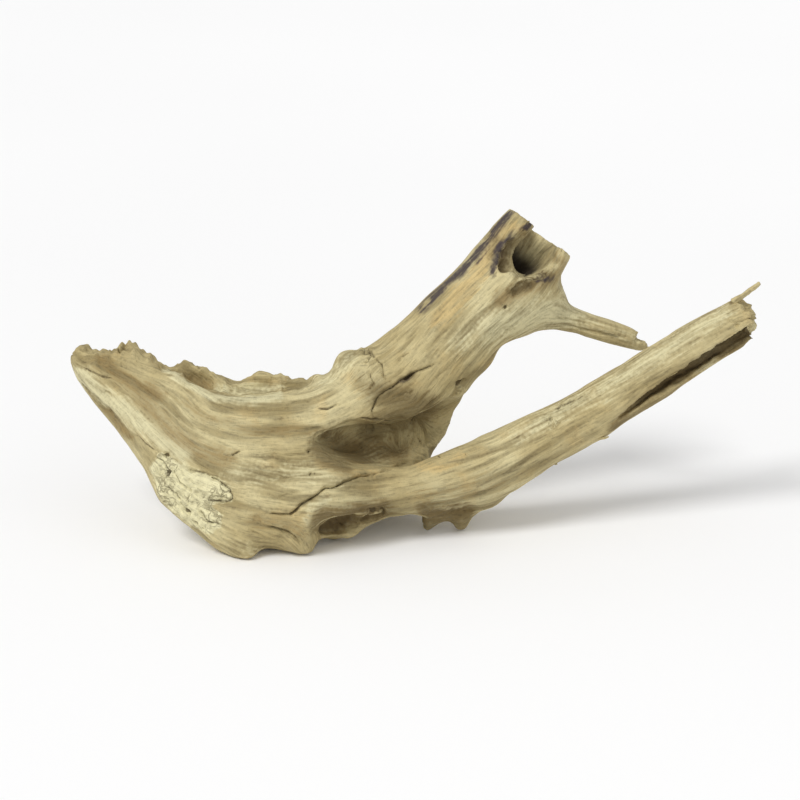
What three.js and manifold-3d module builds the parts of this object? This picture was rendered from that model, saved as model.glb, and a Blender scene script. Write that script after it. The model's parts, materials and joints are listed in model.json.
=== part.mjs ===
// A piece of driftwood, in millimetres: one weathered rootstock grown as a single solid.
// A broad root flare sweeps up to the left, a thick sawn limb with a rotted-out heart leans
// back to the upper right, a long straight limb runs out low to the right, and a thin
// snapped twig leaves the sawn limb near its cut. It rests on worn spots under the flare,
// on a ragged stub and on a heel at the back.
//
// Frame: +X along the piece from the flare's tip to the long limb's end, +Y to the back,
// +Z up, with the origin on the ground under the middle of the piece's bounding box.
//
// The wood is described as a distance field: limbs are splines with an oval section, the
// flare is an outline with a thickness, and soft unions make the swellings where they meet.
// A surface net turns the field into a mesh, and manifold-3d makes the crisp cuts.

import * as THREE from "three";
import { ImprovedNoise } from "three/addons/math/ImprovedNoise.js";
import { mergeVertices } from "three/addons/utils/BufferGeometryUtils.js";
import Module from "manifold-3d";

// Driving dimensions.
const LONG_LIMB_RADIUS = 20; // the straight limb at mid length
const SAWN_LIMB_RADIUS = 30; // the sawn limb at mid length
const TWIG_RADIUS = 7.5;
const FLARE_THICKNESS = 46; // the root flare where it is thickest
const FLARE_LEAN = 33; // degrees from upright, towards the back
const HOLLOW_RADIUS = 13; // the rotted heart of the sawn limb
const HOLLOW_DEPTH = 52;
const CELL = 6.5; // the surface net's grid step
const BLEND = 16; // how softly the limbs grow into each other

const radians = THREE.MathUtils.degToRad;
const clamp = THREE.MathUtils.clamp;
const vector = (x, y, z) => new THREE.Vector3(x, y, z);

// ---------------------------------------------------------------- the field's building blocks

// Distance fields are negative inside the wood.
function softUnion(a, b, blend) {
  const h = Math.max(blend - Math.abs(a - b), 0) / blend;
  return Math.min(a, b) - (h * h * blend) / 4;
}

const softCut = (wood, cutter, blend) => -softUnion(-wood, cutter, blend);

// One oval section of a limb: where its centre lies, and its half width up and down the
// limb's side (across) and from front to back (deep).
const section = (x, y, z, across, deep = across) => ({ at: vector(x, y, z), across, deep });

// A limb is a smooth line through its sections, with its width changing along it.
class Limb {
  constructor(sections, steps = 10) {
    const line = new THREE.CatmullRomCurve3(sections.map((s) => s.at), false, "centripetal");
    const count = (sections.length - 1) * steps;
    this.points = [];
    for (let i = 0; i <= count; i++) {
      const along = i / count;
      const k = Math.min(Math.floor(along * (sections.length - 1)), sections.length - 2);
      const part = along * (sections.length - 1) - k;
      const ease = part * part * (3 - 2 * part);
      const width = (key) => THREE.MathUtils.lerp(sections[k][key], sections[k + 1][key], ease);
      this.points.push({ at: line.getPoint(along), across: width("across"), deep: width("deep") });
    }
  }

  distance(p) {
    let best = Infinity;
    const { points } = this;
    for (let i = 0; i + 1 < points.length; i++) {
      const a = points[i];
      const b = points[i + 1];
      const dx = b.at.x - a.at.x;
      const dy = b.at.y - a.at.y;
      const dz = b.at.z - a.at.z;
      const length2 = dx * dx + dy * dy + dz * dz;
      const qx = p.x - a.at.x;
      const qy = p.y - a.at.y;
      const qz = p.z - a.at.z;
      const t = clamp((qx * dx + qy * dy + qz * dz) / length2, 0, 1);
      const across = a.across + (b.across - a.across) * t;
      const deep = a.deep + (b.deep - a.deep) * t;
      const ox = qx - dx * t;
      const oy = qy - dy * t;
      const oz = qz - dz * t;
      // The section's deep axis is +Y made square to the limb, so split the offset along it.
      const length = Math.sqrt(length2);
      const ty = dy / length;
      const square = Math.sqrt(Math.max(1 - ty * ty, 1e-6));
      const along = (ox * dx + oy * dy + oz * dz) / length;
      const back = (oy - along * ty) / square;
      const offset = Math.sqrt(ox * ox + oy * oy + oz * oz);
      const side2 = Math.max(offset * offset - back * back, 0);
      const stretch = Math.sqrt(side2 / (across * across) + (back * back) / (deep * deep));
      const d = stretch < 0.05 ? -Math.min(across, deep) : offset * (1 - 1 / stretch);
      if (d < best) best = d;
    }
    return best;
  }
}

// Signed distance to a closed outline, negative inside it.
function outlineDistance(outline, x, y) {
  let nearest = Infinity;
  let inside = false;
  for (let i = 0, j = outline.length - 1; i < outline.length; j = i++) {
    const [ax, ay] = outline[i];
    const [bx, by] = outline[j];
    const ex = bx - ax;
    const ey = by - ay;
    const t = clamp(((x - ax) * ex + (y - ay) * ey) / (ex * ex + ey * ey), 0, 1);
    nearest = Math.min(nearest, Math.hypot(x - ax - ex * t, y - ay - ey * t));
    if (ay > y !== by > y && x < ((bx - ax) * (y - ay)) / (by - ay) + ax) inside = !inside;
  }
  return inside ? -nearest : nearest;
}

// ---------------------------------------------------------------- the root flare

// The flare is a thick plate that leans back. Its outline is drawn on its middle plane:
// x along the piece, and the second number up the leaning plate from its middle.
const FLARE_MIDDLE = vector(-130, -22, 62);
const FLARE_UP = vector(0, Math.sin(radians(FLARE_LEAN)), Math.cos(radians(FLARE_LEAN)));
const FLARE_OUT = vector(0, -FLARE_UP.z, FLARE_UP.y);
const FLARE_OUTLINE = [
  // the torn upper edge, from the tip to the sawn limb
  [-243, 67], [-234, 77], [-226, 76], [-211, 67], [-206, 79], [-191, 74], [-180, 67], [-174, 61],
  [-165, 66], [-151, 66], [-139, 57], [-124, 52], [-110, 57], [-94, 56], [-81, 51], [-66, 55],
  // buried in the rootstock
  [-44, 42], [-48, 6], [-46, -46],
  // the lower edge with its two toes, back to the tip
  [-66, -61], [-71, -73], [-80, -73], [-92, -69], [-106, -68], [-111, -79], [-122, -77],
  [-138, -68], [-160, -51], [-177, -35], [-188, -12], [-198, 5], [-213, 20], [-226, 37], [-237, 53],
];
const FLARE_RIM = 6; // half thickness at the outline
const FLARE_RIM_WIDTH = 34; // how far in from the outline it reaches full thickness

// A point on the flare: along the piece, up the leaning plate, and out from its middle plane.
const onFlare = (x, up, out) =>
  vector(x, FLARE_MIDDLE.y, FLARE_MIDDLE.z).addScaledVector(FLARE_UP, up).addScaledVector(FLARE_OUT, out);

function flareDistance(p) {
  const x = p.x;
  const dy = p.y - FLARE_MIDDLE.y;
  const dz = p.z - FLARE_MIDDLE.z;
  const up = dy * FLARE_UP.y + dz * FLARE_UP.z;
  const out = dy * FLARE_OUT.y + dz * FLARE_OUT.z;
  const edge = outlineDistance(FLARE_OUTLINE, x, up);
  const inward = clamp(-edge / FLARE_RIM_WIDTH, 0, 1);
  const taper = clamp(1 - (-150 - x) / 220, 0.5, 1); // thinner towards the tip
  const swell = Math.sqrt(1 - (1 - inward) * (1 - inward));
  const half = FLARE_RIM + (FLARE_THICKNESS / 2 - FLARE_RIM) * swell * taper;
  const face = Math.abs(out) - half;
  const a = edge + FLARE_RIM;
  const b = face + FLARE_RIM;
  return Math.min(Math.max(a, b), 0) + Math.hypot(Math.max(a, 0), Math.max(b, 0)) - FLARE_RIM;
}

// Two old roots run through the flare, stand a little proud of its face, and become the two
// limbs. A valley lies between them.
const FLARE_FACE = FLARE_THICKNESS / 2;
const root = (x, up, radius, proud) => {
  const at = onFlare(x, up, FLARE_FACE + proud - radius);
  return section(at.x, at.y, at.z, radius);
};
const upperRoot = new Limb([
  root(-206, 54, 10, -9), root(-165, 36, 15, -2), root(-140, 15, 22, 3), root(-106, 8, 25, 4), root(-62, 12, 28, 3),
  section(-26, 14, 92, 28, 28),
]);
const lowerRoot = new Limb([
  root(-212, 44, 10, -9), root(-176, 6, 17, -2), root(-142, -22, 24, 4), root(-100, -33, 27, 7), root(-62, -32, 24, 9),
  section(-28, -31, 34, 20.5),
]);

// ---------------------------------------------------------------- the limbs

const B = LONG_LIMB_RADIUS;
const longLimb = new Limb([
  section(-62, -38, 27, B * 1.1),
  section(-28, -31, 34, B * 0.96, B * 1.1),
  section(-2, -27, 37, B * 0.88, B * 1.05),
  section(25, -22, 42, B * 1.12, B * 1.1),
  section(52, -18, 49, B * 1.2, B * 1.1),
  section(102, -10, 73.5, B, B),
  section(138, -6, 93.5, B * 0.98, B * 0.95),
  section(180, -2, 121, B * 0.9, B * 0.9),
  section(232, 2, 153, B * 0.86, B * 0.84),
  section(250, 4, 164, B * 0.86, B * 0.84),
]);
const BROKEN_END = vector(232, 2, 152);
const BROKEN_AXIS = vector(0.848, 0.075, 0.528).normalize();

const A = SAWN_LIMB_RADIUS;
const SAWN_END = vector(87, 38, 203);
const SAWN_AXIS = vector(0.62, 0.27, 0.735).normalize();
const sawnLimb = new Limb([
  section(-22, 26, 40, A * 1.12, A),
  section(-16, 24, 70, A * 1.18, A),
  section(-2, 22, 97, A * 1.24, A),
  section(24, 23, 128, A * 1.1, A * 0.95),
  section(54, 29, 160, A * 1.05, A * 0.93),
  section(76, 35, 186, A * 0.99, A * 0.92),
  section(SAWN_END.x, SAWN_END.y, SAWN_END.z, A * 0.87, A * 0.87),
  section(98, 42, 216, A * 0.87, A * 0.87),
]);

const C = TWIG_RADIUS;
const twig = new Limb([
  section(66, 30, 150, C * 2.8),
  section(88, 34, 152, C * 2.4),
  section(102, 37, 142, C * 1.3),
  section(118, 39, 136, C * 1.1),
  section(136, 41, 130, C * 1.05),
  section(152, 43, 124, C),
  section(163, 44, 118, C * 0.8),
]);

// What joins the limbs below: the rootstock itself, and the parts that reach the ground.
const rootstock = new Limb([section(-66, 2, 54, 38, 30), section(-28, 26, 50, 36, 30)]);
const heel = new Limb([section(-34, 32, 40, 24), section(-28, 52, 12, 16), section(-24, 62, -4, 12)]);
const shelf = new Limb([section(-66, -34, 20, 13), section(-56, -32, 9, 10)]);
const stub = new Limb([section(18, -18, 24, 12), section(10, -13, 2, 5)]);
const stubHeel = new Limb([section(36, -16, 24, 10), section(32, -11, 5, 5)]);
const knob = new Limb([section(-46, 10, 115, 10, 12), section(-34, 14, 104, 15, 18)]);

// What the weather took away: the pocket between the two limbs, the trough along the
// flare's upper edge, the scoop at the foot of the long limb, and the hollow underneath.
const pocket = new Limb([
  section(-64, -42, 76, 4, 12), section(-50, -30, 69, 9, 18), section(-30, -16, 63, 13, 20), section(-6, -8, 63, 15, 22), section(26, 2, 74, 16, 24),
]);
const shallow = (x, up, out, radius) => {
  const at = onFlare(x, up, out);
  return section(at.x, at.y, at.z, radius);
};
const trough = new Limb([
  shallow(-176, 62, 13, 5), shallow(-160, 57, 14, 8), shallow(-139, 50, 14, 11), shallow(-112, 46, 14, 12),
  shallow(-84, 47, 14, 10), shallow(-62, 50, 14, 6),
]);
const scoop = new Limb([section(-72, -66, 14, 4), section(-58, -60, 20, 8), section(-34, -56, 18, 10), section(-10, -50, 12, 9)]);
const underside = new Limb([
  section(-72, -2, -12, 18, 26), section(-38, -14, -6, 20, 26), section(-8, -10, -5, 23, 26), section(30, 24, -4, 20, 30),
]);

const GNARL = 1.6; // height of the lumps that weather and growth leave all over
const noise = new ImprovedNoise();

function gnarl(p) {
  const lumps = noise.noise(p.x / 34 + 7, p.y / 26, p.z / 26);
  const ripples = noise.noise(p.x / 15, p.y / 12 + 3, p.z / 12);
  return GNARL * (lumps + 0.5 * ripples);
}

function woodDistance(p) {
  let d = softUnion(flareDistance(p), rootstock.distance(p), BLEND * 1.5);
  d = softUnion(d, upperRoot.distance(p), BLEND);
  d = softUnion(d, sawnLimb.distance(p), BLEND);
  d = softUnion(d, heel.distance(p), BLEND);
  const lower = softUnion(lowerRoot.distance(p), longLimb.distance(p), BLEND * 0.5);
  d = softUnion(d, lower, BLEND * 0.5);
  d = softCut(d, pocket.distance(p), 8);
  d = softUnion(d, knob.distance(p), 8);
  d = softUnion(d, twig.distance(p), BLEND);
  d = softCut(d, trough.distance(p), 6);
  d = softCut(d, scoop.distance(p), 8);
  d = softCut(d, underside.distance(p), 10);
  d = softUnion(d, shelf.distance(p), 8);
  d = softUnion(d, stub.distance(p), 6);
  d = softUnion(d, stubHeel.distance(p), 6);
  return d + gnarl(p);
}

// ---------------------------------------------------------------- the surface net

// A grid cell's corners are numbered by bits: 1 for x, 2 for y and 4 for z. An edge is its
// lower corner and its axis. A face is its four corners in order.
const CORNERS = [0, 1, 2, 3, 4, 5, 6, 7];
const CELL_EDGES = CORNERS.flatMap((corner) =>
  [0, 1, 2].filter((axis) => !(corner & (1 << axis))).map((axis) => [corner, axis]),
);
const CELL_FACES = [0, 1, 2].flatMap((axis) => {
  const [u, v] = [1 << ((axis + 1) % 3), 1 << ((axis + 2) % 3)];
  return [0, 1 << axis].map((base) => [base, base | u, base | u | v, base | v]);
});
const edgeName = (a, b) => Math.min(a, b) * 3 + Math.log2(a ^ b);

// The sheets of surface that cross one cell, each as the names of the edges that it crosses.
// Where a face's inside corners lie across from each other, they are kept apart, which every
// neighbour does alike, so the net stays closed.
function sheets(inside) {
  const sheetOf = new Map();
  for (const [corner, axis] of CELL_EDGES)
    if (inside[corner] !== inside[corner | (1 << axis)]) sheetOf.set(corner * 3 + axis, corner * 3 + axis);
  const join = (a, b) => {
    const [from, to] = [sheetOf.get(a), sheetOf.get(b)];
    for (const [edge, sheet] of sheetOf) if (sheet === from) sheetOf.set(edge, to);
  };
  for (const face of CELL_FACES) {
    const names = face.map((corner, n) => edgeName(corner, face[(n + 1) % 4]));
    const crossed = names.filter((name) => sheetOf.has(name));
    if (crossed.length === 2) join(...crossed);
    else if (crossed.length === 4)
      face.forEach((corner, n) => inside[corner] && join(names[(n + 3) % 4], names[n]));
  }
  const groups = new Map();
  for (const [edge, sheet] of sheetOf) groups.set(sheet, [...(groups.get(sheet) || []), edge]);
  return [...groups.values()];
}

// Puts a vertex in each grid cell for each sheet that crosses it, and a quad across each
// grid edge that the surface crosses, then draws the vertices onto the surface.
function surfaceNet(field, low, high, step) {
  const [nx, ny, nz] = ["x", "y", "z"].map((k) => Math.ceil((high[k] - low[k]) / step) + 1);
  const stride = [1, nx, nx * ny];
  const offset = CORNERS.map((c) => (c & 1) * stride[0] + ((c >> 1) & 1) * stride[1] + (c >> 2) * stride[2]);
  const values = new Float32Array(nx * ny * nz);
  const p = vector(0, 0, 0);
  const eachPoint = (first, visit) => {
    for (let k = first; k < nz - first; k++)
      for (let j = first; j < ny - first; j++)
        for (let i = first; i < nx - first; i++) visit(i, j, k, k * stride[2] + j * stride[1] + i);
  };
  eachPoint(0, (i, j, k, here) => {
    values[here] = field(p.set(low.x + i * step, low.y + j * step, low.z + k * step));
  });

  const positions = [];
  const vertexAt = new Map();
  eachPoint(0, (i, j, k, here) => {
    if (i === nx - 1 || j === ny - 1 || k === nz - 1) return;
    const at = offset.map((o) => values[here + o]);
    for (const sheet of sheets(at.map((value) => value < 0))) {
      const middle = vector(0, 0, 0);
      for (const name of sheet) {
        const [corner, axis] = [Math.floor(name / 3), name % 3];
        const cross = at[corner] / (at[corner] - at[corner | (1 << axis)]);
        p.set(corner & 1, (corner >> 1) & 1, corner >> 2);
        p.setComponent(axis, cross);
        middle.add(p);
        vertexAt.set(here * 24 + name, positions.length / 3);
      }
      middle.divideScalar(sheet.length).add(p.set(i, j, k)).multiplyScalar(step).add(low);
      positions.push(middle.x, middle.y, middle.z);
    }
  });

  const faces = [];
  eachPoint(1, (i, j, k, here) => {
    for (const axis of [0, 1, 2]) {
      const inside = values[here] < 0;
      if (inside === values[here + stride[axis]] < 0) continue;
      const [u, v] = [(axis + 1) % 3, (axis + 2) % 3];
      const quad = [[0, 0], [1, 0], [1, 1], [0, 1]].map(([a, b]) => {
        const cell = here - a * stride[u] - b * stride[v];
        return vertexAt.get(cell * 24 + ((a << u) | (b << v)) * 3 + axis);
      });
      if (!inside) quad.reverse();
      faces.push(quad[0], quad[1], quad[2], quad[0], quad[2], quad[3]);
    }
  });

  drawOntoSurface(field, positions, step);
  return { positions: new Float32Array(positions), faces: new Uint32Array(faces) };
}

// Moves each vertex along the field's slope until it lies on the surface.
function drawOntoSurface(field, positions, step) {
  const probe = step / 12;
  const p = vector(0, 0, 0);
  const slope = vector(0, 0, 0);
  for (let n = 0; n < positions.length; n += 3) {
    for (let pass = 0; pass < 3; pass++) {
      p.fromArray(positions, n);
      const d = field(p);
      const along = (axis) => {
        p[axis] += probe;
        const ahead = field(p);
        p[axis] -= 2 * probe;
        const behind = field(p);
        p[axis] += probe;
        return (ahead - behind) / (2 * probe);
      };
      slope.set(along("x"), along("y"), along("z"));
      const move = clamp(d / Math.max(slope.lengthSq(), 0.25), -step / 3, step / 3);
      p.addScaledVector(slope, -move).toArray(positions, n);
    }
  }
}

// ---------------------------------------------------------------- cuts

const wasm = await Module();
wasm.setup();

function solidFrom(positions, faces) {
  return new wasm.Manifold(new wasm.Mesh({ numProp: 3, vertProperties: positions, triVerts: faces }));
}

// A three.js geometry as a solid, after its matrix has put it in place.
function cutter(geometry, place) {
  const bare = new THREE.BufferGeometry();
  bare.setAttribute("position", geometry.getAttribute("position"));
  bare.setIndex(geometry.getIndex());
  const merged = mergeVertices(bare.applyMatrix4(place), 1e-3);
  return solidFrom(merged.attributes.position.array, new Uint32Array(merged.index.array));
}

// A matrix that takes +Y to the given direction and the origin to the given point.
function placeAlong(direction, at) {
  const turn = new THREE.Quaternion().setFromUnitVectors(vector(0, 1, 0), direction);
  return new THREE.Matrix4().compose(at, turn, vector(1, 1, 1));
}

// Everything past a flat cut across a limb.
function cutAcross(end, axis) {
  const side = 120;
  const at = end.clone().addScaledVector(axis, side / 2);
  return cutter(new THREE.BoxGeometry(side, side, side), placeAlong(axis, at));
}

// The rotted heart: a tapering bore down the sawn limb from its cut.
function hollow() {
  const over = 6;
  const length = HOLLOW_DEPTH + over;
  const at = SAWN_END.clone().addScaledVector(SAWN_AXIS, over - length / 2);
  return cutter(new THREE.CylinderGeometry(HOLLOW_RADIUS, HOLLOW_RADIUS * 0.6, length, 14), placeAlong(SAWN_AXIS, at));
}

// The near wall of the hollow has rotted through, from the cut down to a ragged lip.
function brokenWall() {
  const at = SAWN_END.clone().addScaledVector(SAWN_AXIS, -14).add(vector(6, -18, 2));
  const turn = new THREE.Quaternion().setFromUnitVectors(vector(0, 1, 0), SAWN_AXIS);
  const place = new THREE.Matrix4().compose(at, turn, vector(1, 1.5, 1.2));
  return cutter(new THREE.SphereGeometry(14, 14, 8), place);
}

// Everything under the ground goes, which leaves the worn spots that the piece rests on.
function ground() {
  const place = new THREE.Matrix4().makeTranslation(0, 0, -50);
  return cutter(new THREE.BoxGeometry(700, 500, 100), place);
}

// ---------------------------------------------------------------- the piece

const net = surfaceNet(woodDistance, vector(-256, -104, -34), vector(282, 98, 262), CELL);
const wood = solidFrom(net.positions, net.faces)
  .subtract(cutAcross(SAWN_END, SAWN_AXIS))
  .subtract(cutAcross(BROKEN_END, BROKEN_AXIS))
  .subtract(hollow())
  .subtract(brokenWall())
  .subtract(ground());

const cut = wood.getMesh();
const geometry = new THREE.BufferGeometry()
  .setAttribute("position", new THREE.BufferAttribute(cut.vertProperties, 3))
  .setIndex(new THREE.BufferAttribute(cut.triVerts, 1));
geometry.computeVertexNormals();

const driftwood = new THREE.Mesh(
  geometry,
  new THREE.MeshStandardMaterial({ color: 0xc8b88c, roughness: 0.85, metalness: 0 }),
);
driftwood.name = "driftwood";

const piece = new THREE.Group();
piece.add(driftwood);

export default piece;
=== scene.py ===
"""A forked piece of driftwood on a pale studio floor.

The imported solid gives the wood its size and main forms. It is smoothed, cut and torn as a weathered
root is, then carved along its grain: fibres, cracks, knots and rot. Every length in the tables below
is in millimetres, and Blender's own unit is the metre.
"""

from __future__ import annotations

import json
import logging
import math
from dataclasses import dataclass, field
from enum import Enum

import bpy
import numpy as np
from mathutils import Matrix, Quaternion, Vector
from mathutils.bvhtree import BVHTree

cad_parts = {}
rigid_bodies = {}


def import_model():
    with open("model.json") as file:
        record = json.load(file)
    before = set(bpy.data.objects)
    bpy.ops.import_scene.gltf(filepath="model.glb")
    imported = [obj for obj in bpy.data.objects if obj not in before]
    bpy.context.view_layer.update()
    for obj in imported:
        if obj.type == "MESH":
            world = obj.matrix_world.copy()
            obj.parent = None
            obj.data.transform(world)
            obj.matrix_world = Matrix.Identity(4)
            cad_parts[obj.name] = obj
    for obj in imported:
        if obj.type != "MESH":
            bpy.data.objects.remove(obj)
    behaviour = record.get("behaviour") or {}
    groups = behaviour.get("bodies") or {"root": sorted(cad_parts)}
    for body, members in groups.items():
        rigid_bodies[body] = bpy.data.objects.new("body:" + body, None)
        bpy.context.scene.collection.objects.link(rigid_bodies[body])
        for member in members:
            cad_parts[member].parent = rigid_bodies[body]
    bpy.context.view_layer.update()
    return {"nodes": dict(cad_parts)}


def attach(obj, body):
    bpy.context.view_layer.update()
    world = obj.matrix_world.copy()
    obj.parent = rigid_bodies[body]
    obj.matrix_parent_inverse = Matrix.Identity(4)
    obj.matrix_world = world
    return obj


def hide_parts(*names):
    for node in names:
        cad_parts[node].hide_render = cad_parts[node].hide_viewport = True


log = logging.getLogger("driftwood")

MM = 0.001
NODE = "driftwood"
BODY = "root"

Point2 = tuple[float, float]
Point3 = tuple[float, float, float]


# ------------------------------------------------------------------ small helpers


def smoothstep(low: float, high: float, value: np.ndarray) -> np.ndarray:
    """Eases from 0 at low to 1 at high."""
    t = np.clip((value - low) / (high - low), 0.0, 1.0)
    return t * t * (3.0 - 2.0 * t)


def linear(red: int, green: int, blue: int) -> tuple[float, float, float, float]:
    """A display colour from 0 to 255 as the linear colour that shaders use."""

    def channel(value: int) -> float:
        share = value / 255.0
        return share / 12.92 if share <= 0.04045 else ((share + 0.055) / 1.055) ** 2.4

    return channel(red), channel(green), channel(blue), 1.0


def unit(vector: np.ndarray) -> np.ndarray:
    """Rows of vectors, each made one long."""
    return vector / np.maximum(np.linalg.norm(vector, axis=-1, keepdims=True), 1e-9)


class Lattice:
    """Smooth random values in space, from -1 to 1, the same on every run."""

    SIDE = 64

    def __init__(self, seed: int) -> None:
        """Fills the lattice.

        Args:
            seed: The start of the random draw.
        """
        draw = np.random.default_rng(seed)
        self.values = draw.uniform(-1.0, 1.0, self.SIDE**3).astype(np.float32)

    def at(self, points: np.ndarray, cell: float | Point3) -> np.ndarray:
        """The value at each point.

        Args:
            points: Places, in millimetres.
            cell: How wide one lump is, or how wide along x, y and z.

        Returns:
            One value for each point.
        """
        place = points / np.asarray(cell, np.float32)
        low = np.floor(place)
        part = (place - low).astype(np.float32)
        part = part * part * (3.0 - 2.0 * part)
        index = low.astype(np.int64)
        mask = self.SIDE - 1
        corner = [((index & mask), 1.0 - part), (((index + 1) & mask), part)]
        total = np.zeros(len(points), np.float32)
        for i, wi in corner:
            for j, wj in corner:
                for k, wk in corner:
                    name = (i[:, 0] * self.SIDE + j[:, 1]) * self.SIDE + k[:, 2]
                    total += self.values[name] * wi[:, 0] * wj[:, 1] * wk[:, 2]
        return total


def distance_to_path(
    points: np.ndarray, path: tuple[Point2, ...]
) -> tuple[np.ndarray, np.ndarray, np.ndarray]:
    """How far points are from a drawn line.

    Args:
        points: Places on the front view.
        path: The line's corners.

    Returns:
        The distance to the line, the length of line to its nearer end, and which side the place is
        on: above zero on the left of the line's way.
    """
    corners = np.asarray(path, float)
    steps = np.linalg.norm(np.diff(corners, axis=0), axis=1)
    total = steps.sum()
    best = np.full(len(points), np.inf)
    along = np.zeros(len(points))
    side = np.zeros(len(points))
    done = 0.0
    for start, end, length in zip(corners[:-1], corners[1:], steps):
        way = (end - start) / length
        offset = points - start
        t = np.clip(offset @ way, 0.0, length)
        away = np.linalg.norm(offset - t[:, None] * way, axis=1)
        nearer = away < best
        best = np.where(nearer, away, best)
        along = np.where(nearer, done + t, along)
        side = np.where(nearer, offset @ (-way[1], way[0]), side)
        done += length
    return best, np.minimum(along, total - along), side


def inside_outline(points: np.ndarray, outline: tuple[Point2, ...]) -> np.ndarray:
    """Distance into a closed outline: above zero inside it and below zero outside."""
    closed = outline + outline[:1]
    away = distance_to_path(points, closed)[0]
    inside = np.zeros(len(points), bool)
    for (ax, ay), (bx, by) in zip(closed[:-1], closed[1:]):
        if ay == by:
            continue
        crosses = (ay > points[:, 1]) != (by > points[:, 1])
        inside ^= crosses & (points[:, 0] < (bx - ax) * (points[:, 1] - ay) / (by - ay) + ax)
    return np.where(inside, away, -away)


# ------------------------------------------------------------------ the grain


class Strand(Enum):
    """The strands of wood that the piece is grown from."""

    UPPER = "upper root and sawn limb"
    LOWER = "lower root and long limb"
    TWIG = "side twig"
    HEEL = "heel"
    TOE = "front toe"
    SECOND_TOE = "second toe"


@dataclass(frozen=True)
class GrainLine:
    """The middle line of a strand, with how thick the wood is round it."""

    strand: Strand
    points: tuple[Point3, ...]
    radii: tuple[float, ...]


GRAIN = (
    GrainLine(
        Strand.UPPER,
        (
            (-240, 12, 122), (-206, 4, 110), (-165, -7, 96), (-140, -17, 77), (-106, -19, 70),
            (-62, -14, 71), (-26, 10, 84), (-2, 22, 97), (24, 23, 128), (54, 29, 160), (76, 35, 186),
            (87, 38, 203), (104, 45, 223),
        ),
        (6, 10, 16, 22, 26, 28, 32, 35, 32, 31, 29, 26, 26),
    ),
    GrainLine(
        Strand.LOWER,
        (
            (-243, 6, 116), (-212, -2, 101), (-176, -22, 69), (-142, -36, 45), (-100, -42, 36),
            (-62, -44, 38), (-28, -31, 34), (-2, -27, 37), (25, -22, 42), (52, -18, 49), (102, -10, 74),
            (138, -6, 94),
            (180, -2, 121), (232, 2, 153), (252, 4, 165),
        ),
        (6, 10, 18, 24, 27, 24, 20, 19, 22, 24, 20, 19, 18, 17, 17),
    ),
    GrainLine(
        Strand.TWIG,
        (
            (54, 29, 158), (80, 34, 154), (100, 37, 142), (118, 39, 136), (136, 41, 130), (152, 43, 124),
            (170, 44, 116),
        ),
        (20, 15, 10, 8, 8, 7.5, 7),
    ),
    GrainLine(
        Strand.HEEL,
        ((-2, 24, 92), (-20, 28, 64), (-32, 36, 40), (-28, 52, 14), (-24, 62, -4)),
        (28, 28, 24, 16, 12),
    ),
    GrainLine(
        Strand.TOE,
        ((-205, -6, 88), (-186, -22, 62), (-166, -38, 38), (-142, -50, 18), (-114, -56, 2)),
        (8, 12, 14, 14, 12),
    ),
    GrainLine(Strand.SECOND_TOE, ((-92, -46, 40), (-80, -54, 22), (-76, -54, 2)), (14, 12, 10)),
)


class CentreLine:
    """A grain line as short straight lengths."""

    LENGTHS_BETWEEN_POINTS = 6

    def __init__(self, grain: GrainLine) -> None:
        """Runs a smooth curve through the line's points.

        Args:
            grain: The line to follow.
        """
        self.grain = grain
        knots = np.asarray(grain.points, float)
        padded = np.vstack([2 * knots[0] - knots[1], knots, 2 * knots[-1] - knots[-2]])
        places, radii = [], []
        for n in range(len(knots) - 1):
            a, b, c, d = padded[n : n + 4]
            for t in np.arange(self.LENGTHS_BETWEEN_POINTS) / self.LENGTHS_BETWEEN_POINTS:
                square = (2 * a - 5 * b + 4 * c - d) * t**2
                cube = (3 * b - a - 3 * c + d) * t**3
                places.append((2 * b + (c - a) * t + square + cube) / 2)
                radii.append(grain.radii[n] * (1 - t) + grain.radii[n + 1] * t)
        self.places = np.vstack([places, knots[-1]])
        self.radii = np.append(radii, grain.radii[-1])
        steps = np.linalg.norm(np.diff(self.places, axis=0), axis=1)
        self.done = np.concatenate([[0.0], np.cumsum(steps)])
        self.ways = np.diff(self.places, axis=0) / steps[:, None]
        self.steps = steps

    def nearest(self, points: np.ndarray) -> dict[str, np.ndarray]:
        """Where points lie beside the line.

        Args:
            points: Places, in millimetres.

        Returns:
            The depth outside the wood's radius, and the way the line runs there.
        """
        best = np.full(len(points), np.inf, np.float32)
        length = np.zeros(len(points), np.float32)
        for n, (place, way, step) in enumerate(zip(self.places[:-1], self.ways, self.steps)):
            offset = points - place
            t = np.clip(offset @ way, 0.0, step)
            away = np.linalg.norm(offset - t[:, None] * way, axis=1)
            outside = away - (self.radii[n] + (self.radii[n + 1] - self.radii[n]) * t / step)
            nearer = outside < best
            best[nearer] = outside[nearer]
            length[nearer] = self.done[n] + t[nearer]
        ends = np.vstack([self.ways, self.ways[-1]])
        way = unit(np.stack([np.interp(length, self.done, ends[:, k]) for k in range(3)], axis=1))
        return {"outside": best, "way": way}


@dataclass(frozen=True)
class Knot:
    """Where a side shoot was: the grain parts round it."""

    at: Point3
    radius: float


KNOTS = (
    Knot((-4, -8, 100), 3.0),
    Knot((33, 4, 96), 3.0),
    Knot((64, 8, 140), 2.2),
    Knot((-100, -44, 66), 3.0),
    Knot((96, -26, 84), 3.0),
    Knot((-36, -14, 116), 5.0),
)


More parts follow.
